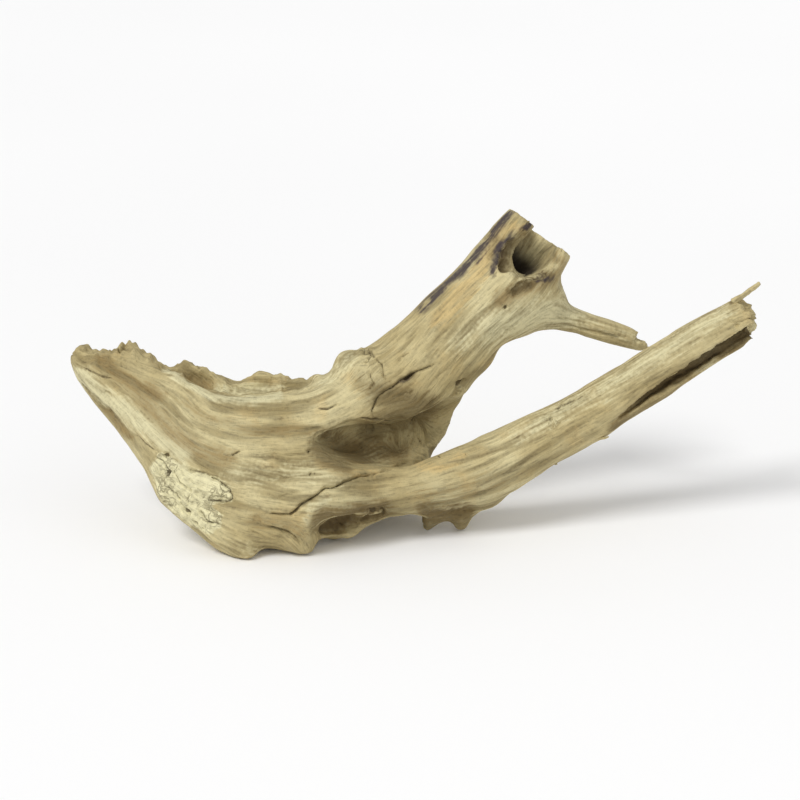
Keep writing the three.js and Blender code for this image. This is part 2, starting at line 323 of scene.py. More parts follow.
class GrainField:
    """Which way the fibres run at any place in the wood."""

    STEP = 5.0
    BLEND = 6.0
    SKIN = 11.0

    def __init__(self, low: Point3, high: Point3, skin: BVHTree) -> None:
        """Works the directions out on a grid.

        Args:
            low: The wood's lowest corner.
            high: The wood's highest corner.
            skin: The wood's surface, which the fibres near it follow.
        """
        margin = 3 * self.STEP
        self.low = np.asarray(low, np.float32) - margin
        self.lines = [CentreLine(grain) for grain in GRAIN]
        counts = np.ceil((np.asarray(high) + margin - self.low) / self.STEP).astype(int) + 1
        axes = [np.arange(count) * self.STEP + self.low[k] for k, count in enumerate(counts)]
        nodes = np.stack(np.meshgrid(*axes, indexing="ij"), axis=-1).reshape(-1, 3).astype(np.float32)
        found = self.beside(nodes)
        weights = self.shares(found)
        total = sum(w[:, None] * f["way"] for w, f in zip(weights, found))
        near = [skin.find_nearest(Vector(node) * MM, self.SKIN * MM) for node in nodes.tolist()]
        outward = np.array([hit[1] if hit[1] else (0.0, 0.0, 0.0) for hit in near])
        total -= 0.92 * (total * outward).sum(1, keepdims=True) * outward
        self.counts = counts
        self.ways = unit(total).astype(np.float32)

    def shares(self, found: list[dict[str, np.ndarray]]) -> list[np.ndarray]:
        """How much each strand counts at each place, from how near its wood is."""
        outside = np.stack([f["outside"] for f in found])
        weight = np.exp(-(outside - outside.min(axis=0)) / self.BLEND)
        return list(weight / weight.sum(axis=0))

    def way(self, points: np.ndarray) -> np.ndarray:
        """The fibres' direction at each point."""
        place = np.clip((points - self.low) / self.STEP, 0, self.counts - 1.001)
        index = place.astype(np.int64)
        part = (place - index).astype(np.float32)
        total = np.zeros((len(points), 3), np.float32)
        for i in (0, 1):
            for j in (0, 1):
                for k in (0, 1):
                    row = (index[:, 0] + i) * self.counts[1] + index[:, 1] + j
                    name = row * self.counts[2] + index[:, 2] + k
                    wx, wy, wz = (part if on else 1 - part for part, on in zip(part.T, (i, j, k)))
                    total += self.ways[name] * (wx * wy * wz)[:, None]
        way = unit(total)
        for knot in KNOTS:
            way = self.round_knot(points, way, knot)
        return way

    @staticmethod
    def round_knot(points: np.ndarray, way: np.ndarray, knot: Knot) -> np.ndarray:
        """Parts the fibres round a knot, as water parts round a post."""
        reach = 5.0
        offset = points - np.asarray(knot.at, np.float32)
        near = np.linalg.norm(offset, axis=1) < reach * knot.radius
        if not near.any():
            return way
        flat = offset[near] * (1.0, 0.35, 1.0)
        away = np.maximum(np.linalg.norm(flat, axis=1), knot.radius)
        out = unit(flat)
        share = (knot.radius / away) ** 2 * (1 - smoothstep(0.6 * reach, reach, away / knot.radius))
        bent = way[near] - share[:, None] * (2 * (way[near] * out).sum(1, keepdims=True) * out - way[near])
        way[near] = unit(bent)
        return way

    def fibres(self, points: np.ndarray, layer: FibreLayer) -> np.ndarray:
        """Draws fibres through the wood, by smearing random spots along the grain.

        Args:
            points: Places on the wood.
            layer: The layer of fibres to draw.

        Returns:
            A value for each point, about -1 to 1.
        """
        total = layer.spots.at(points, layer.cell)
        for sign in (1.0, -1.0):
            place = points.copy()
            before = sign * self.way(place)
            for n in range(1, int(layer.reach / layer.step)):
                place = place + before * layer.step
                before = unit(before + sign * self.way(place))
                weight = 0.5 + 0.5 * math.cos(math.pi * n * layer.step / layer.reach)
                total = total + weight * layer.spots.at(place, layer.cell)
        return (total - total.mean()) / (2.2 * total.std())

    def beside(self, points: np.ndarray) -> list[dict[str, np.ndarray]]:
        """Where places lie beside each strand."""
        return [line.nearest(points) for line in self.lines]

    def owners(self, found: list[dict[str, np.ndarray]]) -> np.ndarray:
        """The number of the strand that each place belongs to, in the order of GRAIN."""
        return np.argmin(np.stack([f["outside"] for f in found]), axis=0)


@dataclass(frozen=True)
class FibreLayer:
    """Fibres of one thickness."""

    spots: Lattice
    cell: float
    reach: float
    step: float


@dataclass(frozen=True)
class Nudge:
    """A push that moves the wood round a place, most in the middle and not at all beyond the radius."""

    at: Point3
    radius: float
    move: Point3 = (0.0, 0.0, 0.0)
    swell: float = 0.0

    def push(self, points: np.ndarray, normals: np.ndarray) -> np.ndarray:
        """How far each point moves."""
        away = np.linalg.norm(points - np.asarray(self.at), axis=1)
        share = 1.0 - smoothstep(0.0, self.radius, away)
        return share[:, None] * (np.asarray(self.move) + self.swell * normals)


FORM_NUDGES = (
    # the heel's right side, the crotch, and the long limb's edges
    Nudge((24, 22, 66), 28.0, (8.0, 0.0, 0.0)),
    Nudge((68, 24, 122), 18.0, (-3.5, 0.0, 3.5)),
    Nudge((54, -14, 72), 26.0, (0.0, 0.0, -3.0)),
    Nudge((100, -8, 92), 24.0, (0.0, 0.0, -2.4)),
    Nudge((80, -16, 44), 26.0, (0.0, 0.0, 1.8)),
    Nudge((156, -8, 86), 30.0, (0.0, 0.0, 2.8)),
    Nudge((50, -18, 24), 20.0, (4.0, 0.0, -4.5)),
    Nudge((-42, -48, 8), 16.0, (0.0, 0.0, -7.0)),
    Nudge((-18, -44, 20), 16.0, (0.0, 0.0, 4.5)),
    Nudge((8, -30, 18), 14.0, (0.0, 0.0, -4.0)),
    Nudge((132, 41, 130), 44.0, (0.0, 0.0, 0.0), 1.6),
    # the pocket's upper rim is laid back
    Nudge((-36, -16, 68), 26.0, (0.0, 14.0, 5.0)),
    Nudge((-62, -22, 66), 14.0, (4.0, -6.0, -2.0)),
    Nudge((10, -14, 6), 18.0, (-2.0, -6.0, 0.0)),
    Nudge((34, -14, 8), 18.0, (0.0, -5.0, -3.0)),
)

END_NUDGES = (
    Nudge((231, 2, 160), 15.0, (7.0, 0.0, -1.0)),
    Nudge((236, 0, 140), 14.0, (-7.0, 0.0, 2.0)),
    Nudge((222, -8, 166), 9.0, (-2.0, 0.0, -3.0)),
)


# ------------------------------------------------------------------ what is drawn from the front


@dataclass(frozen=True)
class FrontView:
    """The piece as it is seen from the front, a little above, through the middle of the view."""

    aim: Point3 = (-10.0, 0.0, 92.0)
    elevation: float = 20.0
    distance: float = 1800.0
    width: float = 560.0

    def back(self) -> np.ndarray:
        """The way from the aim to the eye."""
        angle = math.radians(self.elevation)
        return np.array([0.0, -math.cos(angle), math.sin(angle)])

    def eye(self) -> np.ndarray:
        """Where the eye is."""
        return np.asarray(self.aim) + self.back() * self.distance

    def seen(self, points: np.ndarray) -> np.ndarray:
        """Where points are seen.

        Args:
            points: Places on the wood.

        Returns:
            Millimetres right of the aim and above it, on a plane through the aim.
        """
        angle = math.radians(self.elevation)
        up = np.array([0.0, math.sin(angle), math.cos(angle)])
        offset = points - self.eye()
        depth = -(offset @ self.back())
        return np.stack([offset[:, 0], offset @ up], axis=1) * (self.distance / depth)[:, None]

    def facing(self, points: np.ndarray, normals: np.ndarray) -> np.ndarray:
        """How squarely the wood faces the eye, 1 where it looks straight at it."""
        return (normals * unit(self.eye() - points)).sum(axis=1)


class Cut(Enum):
    """The section of a drawn line."""

    ROUND = "soft swell or hollow"
    SHARP = "crack or crest"


EVERY = tuple(Strand)
ROOTS = (Strand.UPPER, Strand.LOWER, Strand.TOE, Strand.SECOND_TOE, Strand.HEEL)


@dataclass(frozen=True)
class Stroke:
    """A line carved from the front: a ridge where its height is above zero, else a groove."""

    path: tuple[Point2, ...]
    width: float
    height: float
    cut: Cut = Cut.ROUND
    on: tuple[Strand, ...] = EVERY
    taper: float = 10.0
    ink: float = 1.0
    lip: float = 0.7

    def carve(self, seen: np.ndarray) -> tuple[np.ndarray, np.ndarray]:
        """How far the stroke lifts each place, and how dark it leaves it, from 0 to 1."""
        away, to_end, side = distance_to_path(seen, self.path)
        ends = smoothstep(0.0, self.taper, to_end + 0.3 * self.width)
        if self.cut is Cut.ROUND:
            return self.height * np.exp(-((away / self.width) ** 2)) * ends, np.zeros(len(seen))
        # the darkness along a sharp cut is painted shade down in the crack
        near = np.clip(1.0 - away / 2.4, 0.0, 1.0) * (0.35 + 0.65 * ends) * (ends > 0)
        groove = self.height * np.clip(1.0 - away / self.width, 0.0, 1.0)
        lip = self.lip * (side > 0) * np.exp(-((away / 3.2) ** 2))
        return (groove + lip) * ends, self.ink * near


@dataclass(frozen=True)
class Pit:
    """A round hollow, such as an insect's hole or a small knot."""

    at: Point2
    radius: float
    depth: float
    dark: float = 1.0
    stretch: float = 1.0
    turn: float = 0.0
    on: tuple[Strand, ...] = EVERY

    def profile(self, seen: np.ndarray) -> np.ndarray:
        """How much of the pit falls on each place, from 0 to 1."""
        offset = seen - np.asarray(self.at)
        angle = math.radians(self.turn)
        along = offset @ (math.cos(angle), math.sin(angle))
        across = offset @ (-math.sin(angle), math.cos(angle))
        away = np.hypot(along / self.stretch, across) / self.radius
        return 1.0 - smoothstep(0.55, 1.25, away)


@dataclass(frozen=True)
class Tint:
    """A soft patch of colour along a drawn line."""

    path: tuple[Point2, ...]
    width: float
    strength: float
    on: tuple[Strand, ...] = EVERY

    def profile(self, seen: np.ndarray) -> np.ndarray:
        """How much of the tint falls on each place."""
        away = distance_to_path(seen, self.path)[0]
        return self.strength * (1.0 - smoothstep(0.0, 1.5 * self.width, away))


FORMS = (
    # the flare: the pale crest in front of the trough, the trough, and the long hollows
    Stroke(((-164, 22), (-150, 14), (-130, 0), (-108, -1), (-70, 6), (-52, 12), (-38, 21)), 4.0, 2.0),
    Stroke(((-158, 25), (-140, 15), (-122, 8), (-77, 9), (-56, 16)), 4.5, -2.0),
    Stroke(((-150, 17), (-142, 14), (-130, 11)), 4.0, -4.0, taper=5.0),
    Stroke(((-92, 15), (-80, 16)), 3.0, -2.5, taper=4.0),
    Stroke(((-168, 10), (-150, -1), (-136, -13), (-126, -19), (-98, -21), (-70, -20), (-49, -24)), 3.2, -1.8),
    Stroke(((-150, 10), (-130, -8), (-100, -11), (-60, -8)), 7.0, 1.2),
    Stroke(((-204, 25), (-189, 13), (-175, -4), (-161, -21), (-140, -36), (-119, -41)), 9.0, -2.2),
    Stroke(
        ((-222, 22), (-214, 10), (-196, -1), (-175, -18), (-158, -31), (-140, -43), (-112, -52), (-80, -54)),
        9.0, 1.8,
    ),
    Stroke(((-210, -4), (-192, -20), (-178, -35)), 3.0, -1.6),
    Stroke(((-100, -30), (-80, -32), (-62, -34)), 9.0, 1.6),
    Stroke(((-110, -66), (-84, -66), (-60, -58)), 9.0, 1.6),
    Stroke(((-118, -35), (-110, -43), (-97, -43), (-88, -38)), 2.4, -1.0),
    Stroke(((-52, -70), (-60, -76), (-65, -86), (-66, -100)), 3.4, 2.6),
    Stroke(((-76, -84), (-80, -96), (-88, -104)), 4.0, -2.0),
    # the pocket
    Stroke(((-55, -27), (-44, -40), (-34, -45)), 3.2, 1.8, on=(Strand.LOWER,)),
    Stroke(((4, -22), (6, -32), (10, -42)), 3.4, 2.0, on=(Strand.UPPER, Strand.HEEL)),
    Stroke(((16, -16), (19, -30), (22, -40)), 2.6, -1.6, on=(Strand.UPPER, Strand.HEEL)),
    # the sawn limb
    Stroke(((-34, 34), (-24, 30), (-12, 16), (-6, 2)), 7.0, 1.6),
    Stroke(((42, 8), (58, 30), (78, 52)), 8.0, -1.2),
    Stroke(((8, 30), (28, 50), (50, 74)), 8.0, 1.0),
    # the long limb
    Stroke(((22, -66), (50, -56), (84, -36), (120, -14), (160, 12), (200, 38)), 5.0, 0.9, on=(Strand.LOWER,)),
    Stroke(((40, -72), (84, -49), (112, -31), (140, -14)), 2.6, -0.9, on=(Strand.LOWER,)),
)

# cracks are carved and inked dark: painted shade down in them
CRACKS = (
    Stroke(
        (
            (10, -43), (-10, -48), (-25, -52), (-36, -57), (-52, -62), (-62, -69), (-70, -75), (-77, -79),
            (-97, -81),
        ),
        1.6, -4.5, Cut.SHARP, ROOTS, 16.0,
    ),
    Stroke(((-97, -89), (-88, -90), (-79, -94), (-72, -99), (-68, -104)), 1.4, -3.2, Cut.SHARP),
    Stroke(
        ((28, 27), (18, 22), (8, 18), (0, 13), (-10, 6), (-16, 1), (-19, -8), (-16, -14)),
        1.5, -3.0, Cut.SHARP,
    ),
    Stroke(((4, -22), (8, -17), (14, -9), (22, -1), (33, 7)), 1.3, -2.2, Cut.SHARP),
    Stroke(
        ((-28, 30), (-20, 33), (-17, 27), (-13, 24), (-12, 17), (-9, 13)),
        1.4, -2.6, Cut.SHARP, taper=5.0,
    ),
    Stroke(((-28, 28), (-24, 36), (-14, 43), (-4, 50)), 1.5, -2.4, Cut.SHARP, taper=6.0),
    Stroke(((-22, 20), (-18, 12), (-22, 6)), 1.3, -1.8, Cut.SHARP, taper=4.0),
    Stroke(((-62, -5), (-50, -6), (-38, -3)), 1.2, -1.6, Cut.SHARP),
    Stroke(((-34, -13), (-15, -13), (0, -15)), 1.2, -1.8, Cut.SHARP),
    Stroke(((9, -20), (13, -28), (19, -37)), 1.2, -1.8, Cut.SHARP, (Strand.UPPER, Strand.HEEL)),
    Stroke(((106, 58), (122, 56), (138, 52)), 1.2, -1.2, Cut.SHARP, ink=0.68, lip=0.4),
    Stroke(((132, 49), (146, 46), (160, 42)), 1.2, -1.6, Cut.SHARP, ink=0.75, lip=0.4),
    Stroke(((112, 53), (130, 49), (142, 45)), 1.2, -1.2, Cut.SHARP, ink=0.62, lip=0.4),
    Stroke(((-50, -80), (-42, -86), (-33, -92)), 1.5, -2.6, Cut.SHARP),
    Stroke(((75, 73), (82, 81), (92, 85), (107, 89)), 1.3, -1.6, Cut.SHARP, ink=0.85),
    Stroke(((76, 72), (88, 76), (100, 83), (109, 90)), 1.2, -0.8, Cut.SHARP, ink=0.7, lip=0.4),
    Stroke(((104, -10), (112, -4), (124, 1), (134, 5)), 1.3, -1.6, Cut.SHARP),
    Stroke(((133, 0), (154, 12), (175, 24), (203, 38)), 1.2, -1.0, Cut.SHARP, ink=0.62, lip=0.4),
    Stroke(((60, -58), (84, -44), (104, -34)), 1.2, -1.0, Cut.SHARP, ink=0.6, lip=0.4),
    Stroke(((90, -8), (130, 16), (160, 36)), 1.2, -0.9, Cut.SHARP, ink=0.6, lip=0.3),
    Stroke(((120, -22), (160, 2), (196, 26)), 1.2, -0.9, Cut.SHARP, ink=0.58, lip=0.3),
    Stroke(((170, 40), (200, 56), (222, 66)), 1.2, -0.9, Cut.SHARP, ink=0.6, lip=0.3),
    Stroke(((30, -58), (60, -44), (84, -30)), 1.2, -0.9, Cut.SHARP, ink=0.58, lip=0.3),
    # the dark line under the split's overhanging upper edge: painted shadow
    Stroke(
        ((148, -17), (168, -2), (182, 9), (196, 18), (210, 25), (224, 34), (236, 42)),
        2.4, -2.5, Cut.SHARP, (Strand.LOWER,), 24.0, lip=0.0,
    ),
    Stroke(((-26, 40), (-20, 30), (-24, 22)), 1.3, -2.0, Cut.SHARP, taper=4.0, lip=1.0),
    Stroke(((-6, 22), (2, 30), (12, 38)), 1.2, -1.4, Cut.SHARP, ink=0.8),
    Stroke(((20, 10), (34, 24), (48, 36)), 1.2, -1.2, Cut.SHARP, ink=0.62, lip=0.4),
    Stroke(((-8, 0), (4, 6), (14, 8)), 1.2, -1.2, Cut.SHARP, ink=0.75, lip=0.5),
    Stroke(((-190, 12), (-172, 2), (-158, -10), (-150, -22)), 1.3, -1.2, Cut.SHARP, ink=0.7, lip=0.5),
    Stroke(((-140, -16), (-112, -24), (-86, -22)), 1.3, -1.2, Cut.SHARP, ink=0.75, lip=0.5),
    Stroke(((-112, -4), (-84, -6), (-58, 2)), 1.2, -1.0, Cut.SHARP, ink=0.62, lip=0.4),
    Stroke(((-110, -88), (-96, -96), (-84, -100)), 1.3, -1.4, Cut.SHARP, ink=0.75, lip=0.5),
    Stroke(((-98, -72), (-80, -66), (-62, -62)), 1.2, -1.0, Cut.SHARP, ink=0.6, lip=0.4),
    Stroke(((-190, -22), (-180, -30), (-166, -38)), 1.3, -1.8, Cut.SHARP),
    Stroke(((-128, -42), (-112, -36), (-104, -34)), 1.2, -1.4, Cut.SHARP),
    Stroke(((-226, 26), (-208, 16), (-196, 14)), 1.2, -1.4, Cut.SHARP),
)

PITS = (
    Pit((-204, 5), 1.7, 1.4, 0.62, 1.5, -20),
    Pit((-203, -9), 1.6, 1.6, 0.7, 1.8, -50),
    Pit((-164, -38), 2.2, 2.4),
    Pit((-150, -79), 2.2, 2.4, stretch=1.8, turn=-30),
    Pit((-163, -51), 1.6, 1.6, stretch=2.2, turn=-60),
    Pit((-12, -78), 2.6, 4.0),
    Pit((-19, -78), 2.0, 2.4, stretch=1.8),
    Pit((-22, -20), 2.6, 1.8, 0.7),
    Pit((-9, -19), 2.6, 1.8, 0.7),
    Pit((-64, -36), 1.3, 1.5),
    Pit((-63, -51), 1.3, 1.5),
    Pit((-60, -51), 0.9, 1.0),
    Pit((46, -38), 1.3, 1.5),
    Pit((14, -18), 1.0, 1.0),
    Pit((27, -39), 1.0, 1.0),
    Pit((74, 65), 1.9, 2.4),
    Pit((71, 68), 1.2, 1.0, 0.6),
    Pit((5.5, 15.5), 2.1, 3.4, 1.0, 2.3, 32),
    Pit((43, 11), 2.2, 4.0, 1.0, 2.2, 33),
    Pit((105, -12), 2.0, 1.8, 0.8),
    Pit((-100, -84), 3.2, 1.2, 0.35),
    Pit((237, 52), 2.0, 2.0, 0.6),
    Pit((-88, -38), 1.2, 1.0, 0.5),
)

# brown laid into hollows and grooves, the pocket, the split, the stub and the underside recess: mostly
# painted shade, partly the browner wood there
BROWNS_AND_SHADE = (
    Tint(((-177, 6), (-172, 3)), 9.0, 0.9),
    Tint(((-208, 27), (-189, 12), (-175, -4), (-161, -21), (-140, -36), (-119, -41)), 8.0, 0.75),
    Tint(((-150, -1), (-136, -13), (-98, -21), (-70, -20), (-49, -24)), 4.5, 0.55),
    Tint(((-140, -38), (-126, -40), (-116, -40)), 4.0, 0.8),
    Tint(((-102, -84), (-84, -84), (-72, -92)), 7.0, 0.6),
    Tint(((-52, -82), (-40, -82), (-26, -78), (-14, -78)), 9.0, 1.0),
    Tint(((-55, -94), (-40, -96)), 7.0, 0.5),
    Tint(((-40, -30), (-20, -34), (0, -36)), 11.0, 0.8, (Strand.UPPER, Strand.HEEL)),
    Tint(((-10, 8), (10, 2), (30, -6), (20, -16)), 12.0, 0.35, (Strand.UPPER,)),
    Tint(((-150, 18), (-134, 11)), 5.0, 0.7),
    Tint(((70, 70), (84, 77), (98, 83), (106, 85)), 7.0, 1.0),
    Tint(((108, 100), (114, 96), (110, 88)), 6.0, 0.7),
    Tint(((-84, 15), (-76, 16)), 4.0, 0.6),
    Tint(((150, -16), (182, 8), (210, 24), (238, 42)), 5.5, 0.7, (Strand.LOWER,)),
    Tint(((16, -80), (30, -80), (46, -78)), 7.0, 1.0),
    Tint(((-206, -8), (-198, -16), (-190, -26)), 3.5, 0.7),
    Tint(((234, 70), (242, 72)), 3.5, 1.0),
    Tint(((16, -66), (40, -66), (70, -54)), 11.0, 0.4, (Strand.LOWER,)),
)

# pale patches: sun-bleached wood on the flare's lower edge, and painted highlights along the trough's crest
# and on the limbs' upper sides
PALES_AND_HIGHLIGHTS = (
    Tint(((-224, 18), (-210, 6), (-192, -8), (-172, -24), (-152, -38)), 8.0, 1.0),
    Tint(((-164, 22), (-146, 10), (-130, 0), (-108, -1), (-84, 2)), 3.6, 1.0),
    Tint(((-126, 8), (-104, 8), (-86, 8)), 5.0, 0.7),
    Tint(((-120, -52), (-90, -52), (-62, -50), (-44, -54)), 12.0, 0.4),
    Tint(((-56, 10), (-44, 20), (-36, 30)), 8.0, 0.5),
    Tint(((66, 50), (90, 58), (116, 62)), 17.0, 0.9),
    Tint(((40, 40), (64, 56)), 12.0, 0.5),
    Tint(((118, 92), (113, 80), (116, 68), (128, 58)), 4.0, 0.7),
    Tint(((120, 56), (144, 50), (164, 42)), 7.0, 0.5),
    Tint(((84, -24), (130, 2), (180, 30), (228, 62)), 10.0, 0.65, (Strand.LOWER,)),
    Tint(((-66, -84), (-62, -76), (-50, -70)), 4.5, 0.6),
    Tint(((-112, -104), (-100, -106)), 8.0, 0.4),
)

OCHRES = (
    Tint(((70, 121), (60, 97), (49, 80), (36, 66), (26, 56)), 8.0, 1.0),
    Tint(((86, 118), (78, 122)), 6.0, 0.8),
    Tint(((14, -46), (28, -48), (44, -40)), 5.0, 0.7, (Strand.LOWER,)),
    Tint(((-56, -44), (-40, -50), (-18, -52)), 5.0, 0.6),
    Tint(((-34, 14), (-20, 2)), 9.0, 0.35),
)

STAINS = (
    Tint(((78, 133), (66, 119), (58, 107), (52, 98)), 5.0, 1.0),
    Tint(((48, 95), (35, 85), (25, 74), (16, 65)), 4.4, 1.0),
    Tint(((91, 122), (80, 117), (72, 109), (68, 99), (65, 88)), 3.0, 1.0),
    Tint(((98, 86), (107, 86)), 3.4, 0.7),
    Tint(((28, 62), (22, 56)), 3.0, 0.5),
    Tint(((6, 15), (0, 12)), 2.6, 0.6),
)

ROUGHS = (
    Tint(((104, -12), (114, -4), (124, 1), (136, 5)), 5.0, 1.0),
    Tint(((-44, 24), (-36, 34), (-28, 36)), 8.0, 0.8),
    Tint(((-26, 30), (-16, 24), (-8, 14)), 5.0, 0.8),
    Tint(((4, 14), (-8, 6), (-18, -4)), 4.0, 0.7),
    Tint(((154, 46), (168, 42), (178, 38)), 5.0, 0.8),
    Tint(((226, 64), (238, 56), (246, 48)), 9.0, 1.2),
    Tint(((-56, -88), (-40, -84), (-14, -78)), 8.0, 1.0),
    Tint(((72, 74), (84, 82), (98, 88), (108, 92)), 4.0, 1.0),
    Tint(((16, -78), (46, -76)), 9.0, 1.0),
    Tint(((-222, 30), (-200, 30)), 8.0, 0.9),
    Tint(((-204, -6), (-190, -24), (-176, -40)), 3.0, 0.8),
)

# painted shade: dark umber laid where shade falls, in the pocket, below the eye knot, in the hollow by the
# sawn end, on the stub, in the underside recess and along the long limb's split and underside
PAINTED_SHADE_UMBERS = (
    Tint(
        ((-14, 4), (4, 0), (18, -4), (8, -12), (-8, -14), (-20, -20)),
        12.0, 1.1, (Strand.UPPER, Strand.HEEL),
    ),
    Tint(((-28, 16), (-20, 2), (-12, -6)), 7.0, 0.5),
    Tint(((60, 116), (70, 110), (66, 100), (76, 96)), 7.0, 0.8),
    Tint(((0, 12), (8, 17)), 4.5, 0.9),
    Tint(((-50, -30), (-36, -38), (-24, -44)), 12.0, 1.0, (Strand.UPPER, Strand.HEEL)),
    Tint(((18, -78), (32, -80), (46, -78)), 8.0, 1.0),
    Tint(((-56, -86), (-40, -84), (-24, -78), (-12, -79)), 11.0, 1.0),
    Tint(((14, -86), (28, -88), (48, -84)), 10.0, 1.0),
    Tint(((64, 112), (76, 106), (84, 112)), 8.0, 0.5),
    Tint(((210, -6), (150, -28)), 6.0, 0.6, (Strand.LOWER,)),
    Tint(((226, 28), (246, 44)), 5.0, 0.8, (Strand.LOWER,)),
    Tint(((150, -20), (182, -3), (212, 14), (244, 38)), 6.0, 0.9, (Strand.LOWER,)),
    Tint(((90, 116), (82, 108), (78, 98), (84, 90)), 7.0, 0.9),
    Tint(((78, 76), (90, 82), (104, 87)), 5.0, 0.8),
    Tint(((233, 70), (240, 73)), 3.5, 1.0),
    Tint(((-60, -34), (-50, -42), (-38, -47)), 7.0, 1.0),
    Tint(((-52, -26), (-40, -32), (-20, -36), (-2, -36)), 8.0, 0.7),
)

# brown and umber are painted shade, and pale is partly painted highlight
PAINTS = {
    "brown_and_shade": BROWNS_AND_SHADE,
    "umber_and_shade": PAINTED_SHADE_UMBERS,
    "pale": PALES_AND_HIGHLIGHTS,
    "ochre": OCHRES,
    "rough": ROUGHS,
}

ROT_OUTLINE = (
    (-177, -46), (-168, -36), (-157, -41), (-147, -47), (-127, -54), (-117, -61), (-117, -70), (-131, -74),
    (-124, -81), (-124, -89), (-134, -94), (-150, -88), (-160, -79), (-170, -66),
)
ROT_CRACKS = (
    Stroke(
        ((-150, -48), (-136, -51), (-127, -56), (-118, -62), (-117, -68), (-122, -71), (-138, -71)),
        1.5, -2.4, Cut.SHARP, taper=5.0,
    ),
    Stroke(((-143, -77), (-133, -85), (-124, -88)), 1.5, -3.0, Cut.SHARP, taper=4.0),
    Stroke(((-173, -38), (-166, -43), (-161, -50), (-168, -56)), 1.5, -2.4, Cut.SHARP, taper=4.0),
    Stroke(((-160, -46), (-154, -58), (-146, -64), (-150, -74)), 1.2, -1.8, Cut.SHARP, taper=4.0),
    Stroke(((-168, -60), (-158, -66), (-146, -84), (-136, -92)), 1.2, -1.8, Cut.SHARP, taper=4.0),
)


# ------------------------------------------------------------------ hand tools


class Bench:
    """Blender's modelling operators, as they are used on this piece."""

    @staticmethod
    def hold(thing: bpy.types.Object) -> None:
        """Selects one object alone and makes it active."""
        bpy.ops.object.select_all(action="DESELECT")
        thing.select_set(True)
        bpy.context.view_layer.objects.active = thing

    @staticmethod
    def modify(thing: bpy.types.Object, kind: str, **settings: object) -> None:
        """Adds a modifier and applies it.

        Args:
            thing: The object.
            kind: Blender's name for the modifier.
            settings: The modifier's own settings.
        """
        Bench.hold(thing)
        modifier = thing.modifiers.new(kind.lower(), kind)
        for key, value in settings.items():
            setattr(modifier, key, value)
        bpy.ops.object.modifier_apply(modifier=modifier.name)

    @staticmethod
    def cut_away(wood: bpy.types.Object, tool: bpy.types.Object) -> None:
        """Takes a tool's shape out of the wood, and puts the tool away."""
        Bench.modify(wood, "BOOLEAN", object=tool, operation="DIFFERENCE", solver="MANIFOLD")
        bpy.data.objects.remove(tool)

    @staticmethod
    def named(name: str) -> bpy.types.Object:
        """The object that an operator has just made, with its place put in its mesh."""
        made = bpy.context.active_object
        made.name = name
        made.data.name = name
        bpy.ops.object.transform_apply(location=True, rotation=True, scale=True)
        return made

    @staticmethod
    def points(thing: bpy.types.Object) -> np.ndarray:
        """The mesh's vertices, in millimetres."""
        flat = np.empty(len(thing.data.vertices) * 3, np.float32)
        thing.data.vertices.foreach_get("co", flat)
        return flat.reshape(-1, 3) / MM

    @staticmethod
    def normals(thing: bpy.types.Object) -> np.ndarray:
        """The mesh's vertex normals."""
        flat = np.empty(len(thing.data.vertices) * 3, np.float32)
        thing.data.vertex_normals.foreach_get("vector", flat)
        return flat.reshape(-1, 3)

    @staticmethod
    def place(thing: bpy.types.Object, points: np.ndarray) -> None:
        """Moves the mesh's vertices to points in millimetres."""
        thing.data.vertices.foreach_set("co", (points * MM).astype(np.float32).ravel())
        thing.data.update()

    @staticmethod
    def roughen(thing: bpy.types.Object, height: float, cell: float, seed: int) -> None:
        """Breaks a tool's smooth faces up, so that what it cuts looks torn."""
        points = Bench.points(thing)
        lumps = Lattice(seed).at(points, cell) + 0.5 * Lattice(seed + 1).at(points, cell * 0.45)
        Bench.place(thing, points + Bench.normals(thing) * (height * lumps)[:, None])

    @staticmethod
    def keep(thing: bpy.types.Object, name: str, values: np.ndarray) -> None:
        """Stores a value or a vector for each vertex, for the finish to read."""
        kind = "FLOAT_VECTOR" if values.ndim == 2 else "FLOAT"
        layer = thing.data.attributes.new(name, kind, "POINT")
        layer.data.foreach_set("vector" if values.ndim == 2 else "value", values.astype(np.float32).ravel())


def turn_to(direction: Point3) -> Quaternion:
    """The turn that takes +Z to a direction."""
    return Vector(direction).to_track_quat("Z", "Y")


# ------------------------------------------------------------------ the wood


@dataclass
class Carving:
    """What has been carved and coloured so far, vertex by vertex."""

    lift: np.ndarray
    dark: np.ndarray
    tints: dict[str, np.ndarray] = field(default_factory=dict)


